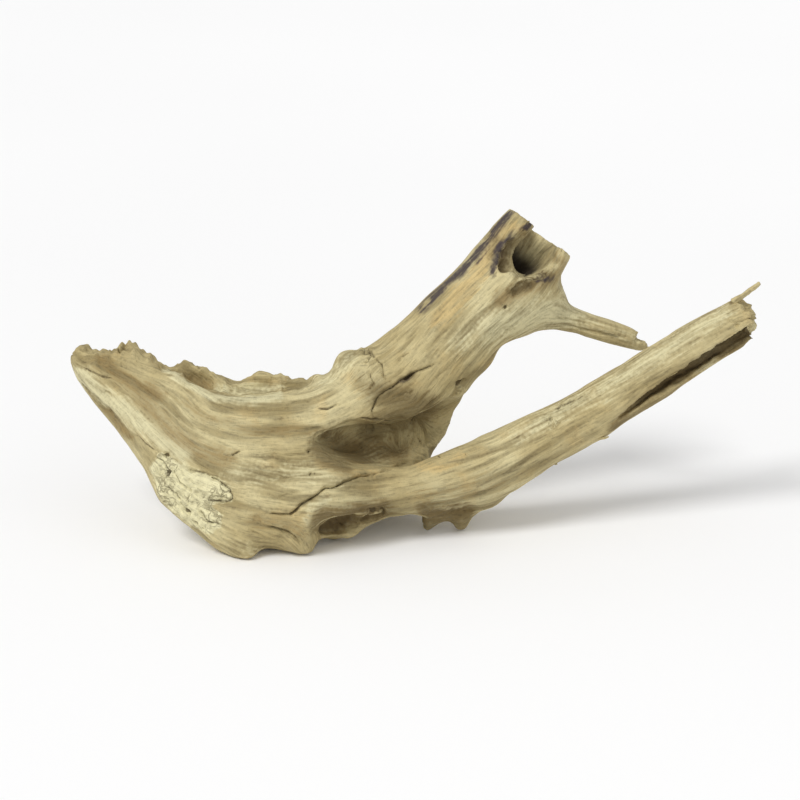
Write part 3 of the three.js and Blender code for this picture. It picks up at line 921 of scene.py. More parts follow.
@dataclass
class Driftwood:
    """The whole piece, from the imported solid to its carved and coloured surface."""

    source: bpy.types.Object
    view: FrontView
    first_voxel: float = 1.6
    last_voxel: float = 1.15
    smoothing: int = 14
    most_triangles: int = 192_000
    sawn_end: Point3 = (87.0, 38.0, 203.0)
    sawn_axis: Point3 = (0.62, 0.27, 0.735)
    broken_end: Point3 = (232.0, 2.0, 152.0)
    broken_axis: Point3 = (0.848, 0.075, 0.528)
    bore_radius: float = 13.5
    bore_depth: float = 58.0
    split_angle: float = 40.0
    rim_end: float = -60.0
    rim_step: float = 10.0
    skin: BVHTree | None = field(default=None, init=False)

    def build(self) -> bpy.types.Object:
        """Makes the wood.

        Returns:
            The finished object.
        """
        wood = self.copy_of_solid()
        self.soften(wood)
        self.skin = BVHTree.FromObject(wood, bpy.context.evaluated_depsgraph_get())
        self.cut_ends(wood)
        self.open_hollow(wood)
        self.split_long_limb(wood)
        self.break_twig(wood)
        self.tear_flare(wood)
        self.nudge(wood, END_NUDGES)
        Bench.modify(wood, "REMESH", mode="VOXEL", voxel_size=self.last_voxel * MM)
        self.carve(wood)
        share = self.most_triangles / (2.0 * len(wood.data.polygons))
        Bench.modify(wood, "DECIMATE", ratio=min(1.0, share), use_collapse_triangulate=True)
        wood.data.materials.clear()
        Bench.hold(wood)
        bpy.ops.object.shade_smooth()
        return wood

    def copy_of_solid(self) -> bpy.types.Object:
        """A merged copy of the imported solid."""
        wood = self.source.copy()
        wood.data = self.source.data.copy()
        wood.name = "weathered_wood"
        wood.data.name = "weathered_wood"
        wood.parent = None
        for key in list(wood.keys()):
            del wood[key]
        wood.data.materials.clear()
        bpy.context.scene.collection.objects.link(wood)
        Bench.hold(wood)
        bpy.ops.object.mode_set(mode="EDIT")
        bpy.ops.mesh.select_all(action="SELECT")
        bpy.ops.mesh.remove_doubles(threshold=1e-6)
        bpy.ops.object.mode_set(mode="OBJECT")
        return wood

    def soften(self, wood: bpy.types.Object) -> None:
        """Draws the two cut ends out a little, then rubs the facets off."""
        Bench.modify(wood, "REMESH", mode="VOXEL", voxel_size=self.first_voxel * MM)
        points = Bench.points(wood)
        for end, axis, radius in (
            (self.sawn_end, self.sawn_axis, 34.0),
            (self.broken_end, self.broken_axis, 24.0),
        ):
            way = unit(np.asarray(axis))
            offset = points - np.asarray(end)
            along = offset @ way
            beside = np.linalg.norm(offset - along[:, None] * way, axis=1)
            near = smoothstep(-12.0, 0.0, along) * (beside < radius)
            points = points + 7.0 * near[:, None] * way
        Bench.place(wood, points)
        Bench.modify(wood, "SMOOTH", factor=0.5, iterations=self.smoothing)
        self.nudge(wood, FORM_NUDGES)
        pocket_rim = (
            ((-42, -31, 75), (27, 13, 13), (0, 0, 29)),
            ((-14, -14, 76), (14, 8, 9), (0, 0, 20)),
        )
        self.gouge(wood, pocket_rim, 0.8, 30)
        Bench.modify(wood, "REMESH", mode="VOXEL", voxel_size=self.first_voxel * MM)
        Bench.modify(wood, "SMOOTH", factor=0.5, iterations=6)

    @staticmethod
    def nudge(wood: bpy.types.Object, nudges: tuple[Nudge, ...]) -> None:
        """Pushes the wood here and there, and keeps what stands on the floor on it."""
        points, normals = Bench.points(wood), Bench.normals(wood)
        push = sum(nudge.push(points, normals) for nudge in nudges)
        push[:, 2] = np.maximum(push[:, 2], -0.9 * points[:, 2])
        push[:, 2] *= smoothstep(0.3, 3.0, points[:, 2])
        Bench.place(wood, points + push)

    def cut_ends(self, wood: bpy.types.Object) -> None:
        """Saws one limb square, and breaks the other off roughly."""
        for end, axis, name, rough in (
            (self.sawn_end, self.sawn_axis, "saw", 0.0),
            (self.broken_end, self.broken_axis, "break", 3.6),
        ):
            side = 110.0
            way = Vector(axis).normalized()
            bpy.ops.mesh.primitive_cube_add(
                size=side * MM,
                location=(Vector(end) + way * side / 2) * MM,
                rotation=turn_to(way).to_euler(),
            )
            tool = Bench.named(name)
            if rough:
                bpy.ops.object.mode_set(mode="EDIT")
                bpy.ops.mesh.subdivide(number_cuts=40)
                bpy.ops.object.mode_set(mode="OBJECT")
                Bench.roughen(tool, rough, 6.0, 31)
            Bench.cut_away(wood, tool)

    def open_hollow(self, wood: bpy.types.Object) -> None:
        """Opens the rotted heart of the sawn limb and the wall that fell away in front of it."""
        way = Vector(self.sawn_axis).normalized()
        end = Vector(self.sawn_end)
        over = 6.0
        length = self.bore_depth + over
        bpy.ops.mesh.primitive_cone_add(
            vertices=36,
            radius1=self.bore_radius * 0.55 * MM,
            radius2=self.bore_radius * MM,
            depth=length * MM,
            location=(end + way * (over - length / 2)) * MM,
            rotation=turn_to(way).to_euler(),
        )
        tool = Bench.named("bore")
        bpy.ops.object.mode_set(mode="EDIT")
        bpy.ops.mesh.subdivide(number_cuts=7)
        bpy.ops.object.mode_set(mode="OBJECT")
        Bench.roughen(tool, 1.4, 6.0, 41)
        Bench.cut_away(wood, tool)
        scoops = (
            ((88, 17, 194), (14.5, 13, 19), (0, 33, 0)),
            ((80, 14, 202), (12, 11, 20), (0, 38, 0)),
            ((70, 10, 198), (9, 12, 19), (0, 35, 0)),
            ((80, 5, 174), (18, 6, 5.5), (0, -18, 22)),
            ((103, 12, 186), (5, 7, 8), (0, 24, 0)),
            ((85, 14, 186), (8, 9, 6), (0, 0, 0)),
        )
        self.gouge(wood, scoops, 1.7, 50)

    def split_long_limb(self, wood: bpy.types.Object) -> None:
        """Takes out the long split low on the front of the long limb."""
        bpy.ops.mesh.primitive_circle_add(vertices=20, radius=1.0, fill_type="NGON")
        tool = Bench.named("split")
        stations = (
            # length from the limb's broken end, distance out from its heart, half width, half depth
            (-114.0, 18.5, 1.2, 2.4),
            (-96.0, 16.5, 3.2, 6.0),
            (-76.0, 14.5, 4.8, 9.0),
            (-52.0, 13.5, 6.0, 11.0),
            (-26.0, 13.0, 6.6, 12.0),
            (14.0, 13.0, 7.2, 12.5),
        )
        way = Vector(self.broken_axis).normalized()
        front = Vector(self.view.back())
        down = way.cross(front).normalized()
        front = down.cross(way)
        turn = math.radians(self.split_angle)
        out = front * math.cos(turn) + down * math.sin(turn)
        side = down * math.cos(turn) - front * math.sin(turn)
        bpy.ops.object.mode_set(mode="EDIT")
        for _ in stations[1:]:
            bpy.ops.mesh.extrude_region_move(TRANSFORM_OT_translate={"value": (0, 0, 1.0)})
        bpy.ops.object.mode_set(mode="OBJECT")
        points = Bench.points(tool) * MM
        shaped = np.empty_like(points)
        for n, (x, y, z) in enumerate(points):
            along, away, wide, deep = stations[int(round(z))]
            middle = Vector(self.broken_end) + way * along + out * away
            shaped[n] = middle + side * (x * wide) + (out * 0.97 + side * 0.22) * (y * deep)
        Bench.place(tool, shaped)
        bpy.ops.object.mode_set(mode="EDIT")
        bpy.ops.mesh.select_all(action="SELECT")
        bpy.ops.mesh.subdivide(number_cuts=5)
        bpy.ops.mesh.normals_make_consistent(inside=False)
        bpy.ops.object.mode_set(mode="OBJECT")
        Bench.roughen(tool, 0.8, 5.0, 61)
        Bench.cut_away(wood, tool)

    def break_twig(self, wood: bpy.types.Object) -> None:
        """Breaks the upper half of the twig off, which leaves a long splinter below."""
        bpy.ops.mesh.primitive_cube_add(size=1.0, location=Vector((176.0, 41, 125.7)) * MM)
        tool = bpy.context.active_object
        tool.scale = Vector((34, 40, 20)) * MM
        tool.rotation_euler = (0.0, math.radians(22), 0.0)
        tool = Bench.named("twig_break")
        bpy.ops.object.mode_set(mode="EDIT")
        bpy.ops.mesh.subdivide(number_cuts=16)
        bpy.ops.object.mode_set(mode="OBJECT")
        Bench.roughen(tool, 1.2, 4.0, 71)
        Bench.cut_away(wood, tool)

    def tear_flare(self, wood: bpy.types.Object) -> None:
        """Tears bites out of the flare's thin upper edge and hollows the foot of the long limb."""
        bites = (
            # middle, half sizes, lean
            ((-222, 14, 127), (9, 16, 3.5), (0, 8, 0)),
            ((-204, 16, 128), (4, 14, 5), (0, -30, 0)),
            ((-176, 10, 121), (5, 14, 3), (0, 30, 0)),
            ((-146, 8, 116), (6, 12, 3), (0, 20, 0)),
            ((-125, 4, 113), (9, 12, 2.5), (0, 0, 0)),
            ((-84, 4, 112), (8, 12, 3), (0, -10, 0)),
            ((-49, -53, 18), (18, 10, 9), (0, -12, 0)),
            ((-25, -48, 20), (13, 9, 5.5), (0, 6, 0)),
            ((26, -32, 12), (6, 8, 5), (0, 0, 0)),
            ((242, -4, 144), (7, 14, 8), (0, 0, 0)),
        )
        self.gouge(wood, bites, 1.5, 80)

    @staticmethod
    def gouge(
        wood: bpy.types.Object, hollows: tuple[tuple[Point3, Point3, Point3], ...], rough: float, seed: int
    ) -> None:
        """Takes egg-shaped hollows out of the wood, all at once.

        Args:
            wood: The wood.
            hollows: For each, its middle, its half sizes and its lean in degrees.
            rough: How torn the hollows are.
            seed: The start of the tearing.
        """
        tools = []
        for middle, half, lean in hollows:
            bpy.ops.mesh.primitive_ico_sphere_add(
                subdivisions=5,
                radius=1.0,
                location=Vector(middle) * MM,
                rotation=[math.radians(angle) for angle in lean],
                scale=Vector(half) * MM,
            )
            tools.append(Bench.named("hollow"))
        for tool in tools:
            tool.select_set(True)
        bpy.ops.object.join()
        tool = bpy.context.active_object
        Bench.modify(tool, "REMESH", mode="VOXEL", voxel_size=1.0 * MM)
        Bench.roughen(tool, rough, 5.0, seed)
        Bench.cut_away(wood, tool)

    # ---- carving

    def carve(self, wood: bpy.types.Object) -> None:
        """Carves the surface, and stores what the finish needs to know about it."""
        points = Bench.points(wood)
        normals = Bench.normals(wood)
        grain = GrainField(tuple(points.min(0)), tuple(points.max(0)), self.skin)
        beside = grain.beside(points)
        owners = grain.owners(beside)
        facing = smoothstep(0.02, 0.3, self.view.facing(points, normals))
        ridges = grain.fibres(points, FibreLayer(Lattice(1), 6.5, 44.0, 4.4))
        fibres = grain.fibres(points, FibreLayer(Lattice(2), 2.6, 20.0, 2.2))
        wobble = np.stack([Lattice(3).at(points, 9.0), Lattice(4).at(points, 9.0)], axis=1)
        wobble += 0.4 * np.stack([Lattice(5).at(points, 3.0), Lattice(6).at(points, 3.0)], axis=1)
        seen = self.view.seen(points) + 1.3 * wobble

        carving = Carving(np.zeros(len(points)), np.zeros(len(points)))
        self.carve_strokes(carving, seen, facing, owners)
        rot = self.carve_rot(carving, points, seen, facing)
        inside = self.depth_inside(points)
        # the finish paints the bore near-black by this depth: painted shade
        bore = self.in_bore(points, normals)
        for name, tints in PAINTS.items():
            carving.tints[name] = self.paint(tints, seen, facing, owners)
        blotches = Lattice(8).at(points, 8.0)
        stains = self.paint(STAINS, seen + 2.2 * blotches[:, None], facing, owners)
        carving.tints["stain"] = stains * (0.4 + 0.6 * smoothstep(-0.6, 0.0, blotches))

        calm = np.clip(0.7 * carving.tints["pale"] + 0.5 * rot, 0.0, 0.85)
        furrows = -0.9 * smoothstep(0.25, 1.1, -ridges) + 0.35 * ridges
        threads = -0.5 * smoothstep(0.2, 1.2, -fibres) + 0.16 * fibres
        carving.lift += (1.0 - calm) * (1.15 * furrows + 0.75 * threads)
        carving.lift += 0.4 * Lattice(7).at(points, 14.0)
        rough = carving.tints.pop("rough") + 0.7 * smoothstep(1.0, 3.0, inside)
        carving.lift += rough * (0.9 * Lattice(8).at(points, 4.0) + 0.6 * Lattice(9).at(points, 2.2))
        standing = smoothstep(0.2, 2.5, points[:, 2])
        moved = points + normals * (carving.lift * standing)[:, None]
        moved[:, 2] += self.torn_rim(points)
        Bench.place(wood, moved)

        way = grain.way(points)
        way -= (way * normals).sum(axis=1, keepdims=True) * normals
        Bench.keep(wood, "way", unit(way))
        Bench.keep(wood, "ridge", ridges)
        Bench.keep(wood, "fibre", fibres)
        Bench.keep(wood, "dark", np.clip(carving.dark, 0.0, 1.0))
        Bench.keep(wood, "rot", rot)
        Bench.keep(wood, "inside", inside)
        Bench.keep(wood, "bore", bore)
        for name, values in carving.tints.items():
            Bench.keep(wood, name, np.clip(values, 0.0, 1.0))

    def torn_rim(self, points: np.ndarray) -> np.ndarray:
        """How far the flare's thin upper rim is torn up or down at each vertex."""
        stations = np.arange(points[:, 0].min(), self.rim_end, self.rim_step)
        near = [np.abs(points[:, 0] - station) < self.rim_step / 2 for station in stations]
        crest = np.interp(points[:, 0], stations, [points[here, 2].max() for here in near])
        on_rim = smoothstep(-12.5, -5.0, points[:, 2] - crest)
        on_rim = on_rim * (1.0 - smoothstep(-64.0, -52.0, points[:, 0]))
        on_rim = on_rim * smoothstep(-14.0, -4.0, points[:, 1])
        flat = points * (1.0, 0.35, 0.0)
        teeth = Lattice(14).at(flat, 7.0) + 0.9 * Lattice(15).at(flat, 2.6)
        height = np.interp(points[:, 0], (-240.0, -195.0, -160.0, -70.0), (2.0, 2.8, 1.8, 1.5))
        return on_rim * height * (teeth - 0.25)

    @staticmethod
    def on_strands(owners: np.ndarray, strands: tuple[Strand, ...]) -> np.ndarray:
        """Which places belong to the given strands."""
        numbers = [n for n, grain in enumerate(GRAIN) if grain.strand in strands]
        return np.isin(owners, numbers)

    def carve_strokes(
        self, carving: Carving, seen: np.ndarray, facing: np.ndarray, owners: np.ndarray
    ) -> None:
        """Carves the drawn ridges, grooves, cracks and pits."""
        # the ink of cracks and pits is painted shade down in them
        for stroke in FORMS + CRACKS:
            here = facing * self.on_strands(owners, stroke.on)
            lift, dark = stroke.carve(seen)
            carving.lift += lift * here
            carving.dark = np.maximum(carving.dark, dark * here)
        for pit in PITS:
            share = pit.profile(seen) * facing * self.on_strands(owners, pit.on)
            carving.lift -= pit.depth * share
            carving.dark = np.maximum(carving.dark, pit.dark * smoothstep(0.2, 1.0, share))

    def carve_rot(
        self, carving: Carving, points: np.ndarray, seen: np.ndarray, facing: np.ndarray
    ) -> np.ndarray:
        """Breaks the soft patch of the flare up into crumbling plates.

        Args:
            carving: What has been carved so far.
            points: The wood's vertices.
            seen: Where they are seen from the front.
            facing: How squarely they face the front.

        Returns:
            How rotten each vertex is, from 0 to 1.
        """
        rot = smoothstep(-1.5, 2.5, inside_outline(seen, ROT_OUTLINE)) * facing
        lumps = Lattice(11).at(points, 7.0) + 0.5 * Lattice(12).at(points, 3.2)
        levels = 3.0
        step = lumps * levels
        plates = (np.floor(step) + smoothstep(0.35, 0.65, step - np.floor(step))) / levels
        crumbs = 0.45 * Lattice(13).at(points, 1.8)
        carving.lift += rot * (2.4 * plates + crumbs - 0.5)
        # the plates' edges are inked dark: painted shade in the gaps between them
        edge = np.abs(step - np.floor(step) - 0.5)
        carving.dark = np.maximum(carving.dark, 0.62 * rot * (1.0 - smoothstep(0.05, 0.25, edge)))
        for stroke in ROT_CRACKS:
            lift, dark = stroke.carve(seen)
            carving.lift += lift * facing
            carving.dark = np.maximum(carving.dark, dark * facing)
        return rot

    def in_bore(self, points: np.ndarray, normals: np.ndarray) -> np.ndarray:
        """How deep in the rotted heart each vertex lies, from 0 to 1."""
        way = unit(np.asarray(self.sawn_axis))
        offset = points - np.asarray(self.sawn_end)
        along = -(offset @ way)
        beside = offset + along[:, None] * way
        inward = -(normals * beside).sum(axis=1) > -2.0
        out = np.linalg.norm(beside, axis=1)
        within = 1.0 - smoothstep(self.bore_radius + 1.0, self.bore_radius + 4.0, out)
        return inward * within * smoothstep(10.0, 25.0, along) * (along < self.bore_depth + 4.0)

    def depth_inside(self, points: np.ndarray) -> np.ndarray:
        """How far below the wood's old skin each vertex lies, in millimetres, except on the two cut ends."""
        depth = np.array([self.skin.find_nearest(Vector(p) * MM)[3] for p in points.tolist()]) / MM
        for end, axis, thickness in (
            (self.sawn_end, self.sawn_axis, 1.2),
            (self.broken_end, self.broken_axis, 5.0),
        ):
            offset = points - np.asarray(end)
            near = np.linalg.norm(offset, axis=1) < 42.0
            depth[near & (offset @ unit(np.asarray(axis)) > -thickness)] = 0.0
        return depth

    def paint(
        self, tints: tuple[Tint, ...], seen: np.ndarray, facing: np.ndarray, owners: np.ndarray
    ) -> np.ndarray:
        """Adds soft patches of one colour up."""
        total = np.zeros(len(seen))
        for tint in tints:
            total = np.maximum(total, tint.profile(seen) * facing * self.on_strands(owners, tint.on))
        return total


# ------------------------------------------------------------------ splinters


@dataclass(frozen=True)
class Splinter:
    """A sliver of wood that stands off a break."""

    name: str
    root: Point3
    tip: Point3
    width: float
    thickness: float
    bend: Point3 = (0.0, 0.0, 0.0)
    blunt: float = 0.35

    def build(self, seed: int) -> bpy.types.Object:
        """Draws the sliver out from its root to its tip.

        Args:
            seed: The start of its roughness.

        Returns:
            The finished sliver.
        """
        lengths = 10
        bpy.ops.mesh.primitive_circle_add(vertices=8, radius=1.0, fill_type="NGON")
        sliver = Bench.named(self.name)
        bpy.ops.object.mode_set(mode="EDIT")
        for _ in range(lengths):
            bpy.ops.mesh.extrude_region_move(TRANSFORM_OT_translate={"value": (0, 0, 1.0)})
        bpy.ops.mesh.select_all(action="SELECT")
        bpy.ops.mesh.normals_make_consistent(inside=False)
        bpy.ops.object.mode_set(mode="OBJECT")
        root, tip = Vector(self.root), Vector(self.tip)
        turn = turn_to(tip - root)
        across, deep = turn @ Vector((1, 0, 0)), turn @ Vector((0, 1, 0))
        rough = Lattice(seed)
        points = Bench.points(sliver) * MM
        share = np.clip(points[:, 2] / lengths, 0.0, 1.0)
        shaped = np.empty_like(points)
        for n, (x, y, _) in enumerate(points):
            t = float(share[n])
            thin = 1.0 - (1.0 - self.blunt) * t**1.4
            middle = root.lerp(tip, t) + Vector(self.bend) * math.sin(math.pi * t)
            shaped[n] = middle + across * (x * self.width * thin) + deep * (y * self.thickness * thin)
        spread = 1.0 + 0.25 * rough.at(shaped, (5.0, 5.0, 5.0))
        middle = (1 - share)[:, None] * np.asarray(self.root) + share[:, None] * np.asarray(self.tip)
        Bench.place(sliver, middle + (shaped - middle) * spread[:, None])
        Bench.modify(sliver, "SUBSURF", levels=2, render_levels=2)
        Bench.roughen(sliver, 0.22, 1.6, seed + 3)
        Bench.keep(sliver, "way", np.tile((tip - root).normalized(), (len(sliver.data.vertices), 1)))
        Bench.hold(sliver)
        bpy.ops.object.shade_smooth()
        return sliver


SPLINTERS = (
    Splinter("end_spike", (219, 0, 163.5), (238.5, 2, 177.5), 3.2, 2.4, (0, 0, -0.6), 0.6),
    Splinter("end_knob", (216, -10, 154), (231, -11, 159), 4.4, 3.6, (0, -0.8, 0), 0.6),
    Splinter("end_sliver", (226, 8, 148), (237, 9, 153), 4.0, 3.0, (0, 1, 0), 0.6),
    Splinter("twig_splinter", (146, 41, 122.5), (175, 44, 113.5), 3.0, 2.2, (0, 0, -0.5), 0.35),
    Splinter("twig_tooth", (150, 40, 129.5), (159, 41, 128), 2.4, 1.6, (0, 0, 0), 0.4),
    Splinter("limb_tag", (128, -19, 71), (135, -22, 73), 1.8, 1.2, (0, 0, -0.8), 0.4),
    Splinter("limb_tag_low", (94, -18, 53), (100, -21, 52), 1.8, 1.3, (0, 0, -0.8), 0.4),
    Splinter("flare_tooth", (-203, 8, 119), (-206, 9, 129), 4.0, 2.2, (0, 0, 0), 0.35),
    Splinter("flare_tip_tooth", (-231, 7, 118), (-238.5, 9, 124.5), 3.6, 2.6, (0, 0, 0), 0.5),
)


# ------------------------------------------------------------------ the finish


class NodeBoard:
    """A material's node tree, with short ways to add to it."""

    def __init__(self, name: str) -> None:
        """Starts a material.

        Args:
            name: The material's name.
        """
        self.material = bpy.data.materials.new(name)
        self.material.use_nodes = True
        self.tree = self.material.node_tree
        self.tree.nodes.clear()

    def add(
        self, kind: str, inputs: dict[str | int, object] | None = None, **settings: object
    ) -> bpy.types.Node:
        """Adds a node.

        Args:
            kind: Blender's name for the node.
            inputs: What goes into its sockets: a value, or another node's socket.
            settings: The node's own settings.

        Returns:
            The node.
        """
        node = self.tree.nodes.new(kind)
        for key, value in settings.items():
            setattr(node, key, value)
        for key, value in (inputs or {}).items():
            if isinstance(value, bpy.types.NodeSocket):
                self.tree.links.new(value, node.inputs[key])
            else:
                node.inputs[key].default_value = value
        return node

    def smear(
        self, place: bpy.types.NodeSocket, way: bpy.types.NodeSocket, scale: float, step: float, count: int
    ) -> bpy.types.NodeSocket:
        """Fine fibres: lumpy values averaged along the grain.

        Args:
            place: Where on the piece.
            way: The fibres' direction there.
            scale: How many lumps to a metre.
            step: The distance between two of the values that are averaged.
            count: How many values are averaged.

        Returns:
            A value near one half.
        """
        total = None
        for n in range(count):
            reach = (n - (count - 1) / 2 + 0.35 * math.sin(2.1 * n)) * step
            shift = self.add("ShaderNodeVectorMath", {0: way, "Scale": reach}, operation="SCALE")
            moved = self.add("ShaderNodeVectorMath", {0: place, 1: shift.outputs[0]}, operation="ADD")
            value = self.noise(moved.outputs[0], scale, 0.0)
            total = value if total is None else self.math("ADD", total, value)
        return self.math("DIVIDE", total, float(count))

    def warp(self, place: bpy.types.NodeSocket, scale: float, reach: float) -> bpy.types.NodeSocket:
        """Places pushed about, so that what is drawn on them is not straight."""
        shift = self.add("ShaderNodeTexNoise", {"Vector": place, "Scale": scale}).outputs["Color"]
        shift = self.add("ShaderNodeVectorMath", {0: shift, "Scale": reach}, operation="SCALE").outputs[0]
        return self.add("ShaderNodeVectorMath", {0: place, 1: shift}, operation="ADD").outputs[0]

    def grey(self, value: bpy.types.NodeSocket) -> bpy.types.NodeSocket:
        """A value as a shade of grey."""
        return self.add("ShaderNodeCombineColor", {0: value, 1: value, 2: value}).outputs[0]

    def value(self, name: str) -> bpy.types.NodeSocket:
        """A stored value of the surface."""
        return self.add("ShaderNodeAttribute", attribute_name=name).outputs["Fac"]

    def math(self, operation: str, *values: object) -> bpy.types.NodeSocket:
        """One maths operation on its values."""
        return self.add("ShaderNodeMath", dict(enumerate(values)), operation=operation).outputs[0]

    def span(
        self, value: bpy.types.NodeSocket, low: float, high: float, to_low: float = 0.0, to_high: float = 1.0
    ) -> bpy.types.NodeSocket:
        """A value taken from one span to another, and held inside it."""
        inputs = {"Value": value, "From Min": low, "From Max": high, "To Min": to_low, "To Max": to_high}
        return self.add("ShaderNodeMapRange", inputs, interpolation_type="SMOOTHSTEP").outputs["Result"]

    def mix(self, share: object, first: object, second: object, blend: str = "MIX") -> bpy.types.NodeSocket:
        """A mix of two colours."""
        node = self.add("ShaderNodeMix", {0: share, 6: first, 7: second}, data_type="RGBA", blend_type=blend)
        return node.outputs[2]

    def noise(
        self, place: bpy.types.NodeSocket, scale: float, detail: float = 3.0, rough: float = 0.55
    ) -> bpy.types.NodeSocket:
        """Lumpy values."""
        inputs = {"Vector": place, "Scale": scale, "Detail": detail, "Roughness": rough}
        return self.add("ShaderNodeTexNoise", inputs).outputs["Fac"]


@dataclass(frozen=True)
class WeatheredWood:
    """Bare wood, bleached by water and sun, with painted shade in its hollows and painted highlights on its
    crests.
    """

    tan: tuple[int, int, int] = (176, 160, 115)
    light: tuple[int, int, int] = (204, 192, 148)
    # deep darkens the grain's furrows: painted shade, over the grain's own darker lines
    deep: tuple[int, int, int] = (128, 113, 75)
    # brown is mostly painted shade in hollows and grooves, partly the browner wood there
    brown_and_shade: tuple[int, int, int] = (138, 117, 76)
    # umber is painted shade where its tints lie, and also the colour of the fibre dashes and the rot flakes'
    # edges
    umber_and_shade: tuple[int, int, int] = (104, 89, 56)
    # pale is sun-bleached wood and also painted highlight on crests and upper sides
    pale: tuple[int, int, int] = (210, 203, 164)
    ochre: tuple[int, int, int] = (196, 170, 115)
    stain: tuple[int, int, int] = (66, 58, 60)
    rot: tuple[int, int, int] = (222, 215, 174)
    # crack is painted shade, the ink down in cracks and pits
    crack: tuple[int, int, int] = (70, 57, 33)
    # heart is the browner inner wood and painted shade in cut-in hollows
    heart: tuple[int, int, int] = (84, 68, 40)
    # hole is painted shade, the near-black deep in the bore
    hole: tuple[int, int, int] = (40, 32, 18)

    def make(self) -> bpy.types.Material:
        """Builds the finish.

        Returns:
            The material.
        """
        board = NodeBoard("weathered_wood")
        way = board.add("ShaderNodeAttribute", attribute_name="way").outputs["Vector"]
        place = board.add("ShaderNodeTexCoord").outputs["Object"]
        strands = board.smear(place, way, 430.0, 0.0013, 11)
        hairs = board.smear(place, way, 1000.0, 0.00055, 11)
        mottle = board.noise(place, 45.0, 4.0, 0.6)
        patches = board.noise(place, 14.0, 3.0, 0.55)
        specks = board.noise(place, 900.0, 2.0, 0.5)

        ridge = board.span(board.value("ridge"), -0.9, 0.9)
        fibre = board.span(board.value("fibre"), -1.0, 1.0)
        colour = board.mix(board.span(patches, 0.35, 0.68), linear(*self.tan), linear(*self.light))
        dashes = board.span(mottle, 0.4, 0.6, 0.25, 0.8)
        dashes = board.math("MULTIPLY", board.span(strands, 0.43, 0.35), dashes)
        # the first two darken the grain's furrows: painted shade down in them, over the grain's own darker
        # lines; the ochre mottle and the umber dashes are the wood's own colour
        for share, strength, tone in (
            (board.span(ridge, 0.45, 0.0), 0.6, self.deep),
            (board.span(fibre, 0.4, 0.0), 0.45, self.deep),
            (board.span(mottle, 0.52, 0.72), 0.35, self.ochre),
            (dashes, 0.6, self.umber_and_shade),
        ):
            colour = board.mix(board.math("MULTIPLY", share, strength), colour, linear(*tone))
        # the pale tint is partly painted highlight; the brown and umber tints are painted shade
        for name, tone, strength in (
            ("pale", self.pale, 0.75),
            ("ochre", self.ochre, 0.65),
            ("brown_and_shade", self.brown_and_shade, 0.75),
            ("umber_and_shade", self.umber_and_shade, 0.75),
            ("rot", self.rot, 0.9),
            ("stain", self.stain, 0.95),
        ):
            around = board.math("SUBTRACT", strands, 0.5)
            ragged = board.math("MULTIPLY_ADD", around, 3.0, board.value(name))
            share = board.math("MULTIPLY", board.span(ragged, 0.1, 1.0), strength)
            share = board.math("MULTIPLY", share, board.span(board.value(name), 0.0, 0.3))
            colour = board.mix(share, colour, linear(*tone))
        streaks = board.span(strands, 0.38, 0.62, 0.85, 1.1)
        colour = board.mix(1.0, colour, board.grey(streaks), "MULTIPLY")
        lines = board.span(hairs, 0.36, 0.52, 0.76, 1.03)
        colour = board.mix(1.0, colour, board.grey(lines), "MULTIPLY")
        # painted shade: dark lines in the gaps between the rotten flakes
        flakes = board.add(
            "ShaderNodeTexVoronoi",
            {"Vector": board.warp(place, 130.0, 0.016), "Scale": 120.0},
            feature="DISTANCE_TO_EDGE",
        ).outputs["Distance"]
        rotten = board.span(board.value("rot"), 0.3, 0.9)
        edges = board.math("MULTIPLY", board.span(flakes, 0.09, 0.02), rotten)
        edges = board.math("MULTIPLY", edges, board.span(mottle, 0.42, 0.58))
        colour = board.mix(board.math("MULTIPLY", edges, 0.42), colour, linear(*self.umber_and_shade))
        # cut-in surfaces below the old skin turn to the heart colour: the browner inner wood, and painted
        # shade down in the hollows and the split
        inside = board.value("inside")
        inner_wood_and_shade = board.math("MULTIPLY", board.span(inside, 1.5, 6.0), 0.8)
        colour = board.mix(inner_wood_and_shade, colour, linear(*self.heart))
        # painted shade: the bore turns near-black the deeper it goes
        colour = board.mix(board.value("bore"), colour, linear(*self.hole))
        # painted shade: cracks, pits and the rot plates' edges are inked dark
        near = board.math("MULTIPLY_ADD", board.math("SUBTRACT", mottle, 0.5), 0.7, board.value("dark"))
        cracks = board.math("MULTIPLY", board.span(near, 0.64, 0.98), 0.8)
        colour = board.mix(cracks, colour, linear(*self.crack))

        height = board.math("MULTIPLY_ADD", hairs, 1.4, board.math("MULTIPLY", strands, 2.4))
        height = board.math("MULTIPLY_ADD", specks, 0.15, height)
        height = board.math("MULTIPLY_ADD", edges, -1.5, height)
        bump = board.add("ShaderNodeBump", {"Height": height, "Strength": 0.75, "Distance": 0.0007})
        surface = board.add(
            "ShaderNodeBsdfPrincipled",
            {
                "Base Color": colour,
                "Roughness": board.span(strands, 0.4, 0.6, 0.76, 0.9),
                "Normal": bump.outputs["Normal"],
                "Specular IOR Level": 0.3,
            },
        )
        board.add("ShaderNodeOutputMaterial", {"Surface": surface.outputs["BSDF"]})
        return board.material


# ------------------------------------------------------------------ the studio


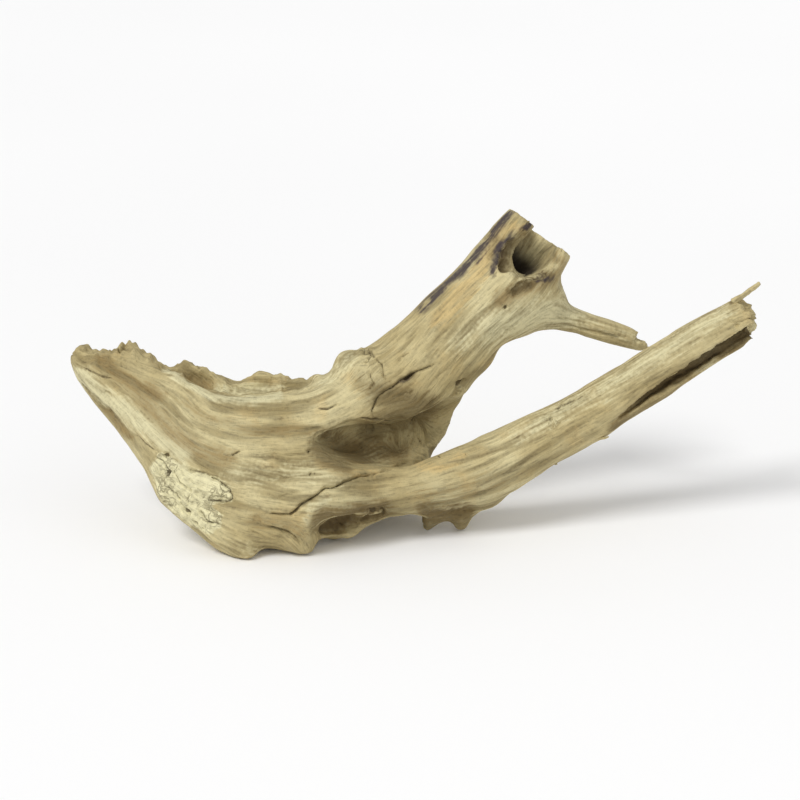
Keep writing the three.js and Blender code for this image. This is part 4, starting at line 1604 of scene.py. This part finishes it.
@dataclass(frozen=True)
class Studio:
    """A pale floor, soft light and the camera."""

    view: FrontView

    def build(self) -> None:
        """Sets the studio up."""
        self.floor()
        self.lights()
        self.camera()

    def floor(self) -> None:
        """Lays a plain pale floor."""
        bpy.ops.mesh.primitive_plane_add(size=1.0)
        floor = bpy.context.active_object
        floor.scale = (14.0, 14.0, 1.0)
        floor = Bench.named("studio_floor")
        board = NodeBoard("studio_floor")
        place = board.add("ShaderNodeTexCoord").outputs["Object"]
        tone = board.span(board.noise(place, 0.6, 2.0), 0.3, 0.7, 0.93, 0.96)
        surface = board.add("ShaderNodeBsdfPrincipled", {"Base Color": board.grey(tone), "Roughness": 0.9})
        board.add("ShaderNodeOutputMaterial", {"Surface": surface.outputs["BSDF"]})
        floor.data.materials.append(board.material)

    def lights(self) -> None:
        """Hangs large soft lights and lifts the shadows with a pale surround."""
        for name, place, angle, power in (
            ("key", (-0.9, -1.0, 1.7), 22.0, 1.7),
            ("fill", (1.6, -1.4, 1.1), 60.0, 0.25),
        ):
            light = bpy.data.lights.new(name, "SUN")
            light.angle = math.radians(angle)
            light.energy = power
            lamp = bpy.data.objects.new(name, light)
            lamp.location = place
            lamp.rotation_euler = (-Vector(place)).to_track_quat("-Z", "Y").to_euler()
            bpy.context.scene.collection.objects.link(lamp)
        world = bpy.data.worlds.new("surround")
        world.use_nodes = True
        world.node_tree.nodes["Background"].inputs["Color"].default_value = (1.0, 1.0, 1.0, 1.0)
        world.node_tree.nodes["Background"].inputs["Strength"].default_value = 0.58
        bpy.context.scene.world = world
        bpy.context.scene.view_settings.view_transform = "Standard"

    def camera(self) -> None:
        """Puts the camera at the front view's eye."""
        camera = bpy.data.cameras.new("camera")
        camera.sensor_width = 36.0
        camera.lens = camera.sensor_width * self.view.distance / self.view.width
        camera.clip_end = 100.0
        stand = bpy.data.objects.new("camera", camera)
        stand.location = Vector(self.view.eye()) * MM
        stand.rotation_euler = Vector(-self.view.back()).to_track_quat("-Z", "Y").to_euler()
        bpy.context.scene.collection.objects.link(stand)
        bpy.context.scene.camera = stand


# ------------------------------------------------------------------ putting it together


def corners(box: tuple[Vector, Vector]) -> list[list[float]]:
    """A box's two corners as plain lists."""
    return [[float(x) for x in corner] for corner in box]


def clear_scene() -> None:
    """Takes away the objects that Blender starts with."""
    for stray in list(bpy.data.objects):
        bpy.data.objects.remove(stray, do_unlink=True)


def main() -> None:
    """Builds the driftwood and its studio."""
    logging.basicConfig(level=logging.INFO, format="%(message)s")
    clear_scene()
    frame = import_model()
    view = FrontView()
    Studio(view).build()
    finish = WeatheredWood().make()

    wood = Driftwood(frame["nodes"][NODE], view).build()
    wood.data.materials.append(finish)
    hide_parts(NODE)
    pieces = [wood]
    for number, splinter in enumerate(SPLINTERS):
        sliver = splinter.build(200 + 10 * number)
        sliver.data.materials.append(finish)
        pieces.append(sliver)
    for piece in pieces:
        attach(piece, BODY)
        log.info("%s: %d triangles", piece.name, sum(len(p.vertices) - 2 for p in piece.data.polygons))
    bpy.context.view_layer.update()


if __name__ == "__main__":
    main()
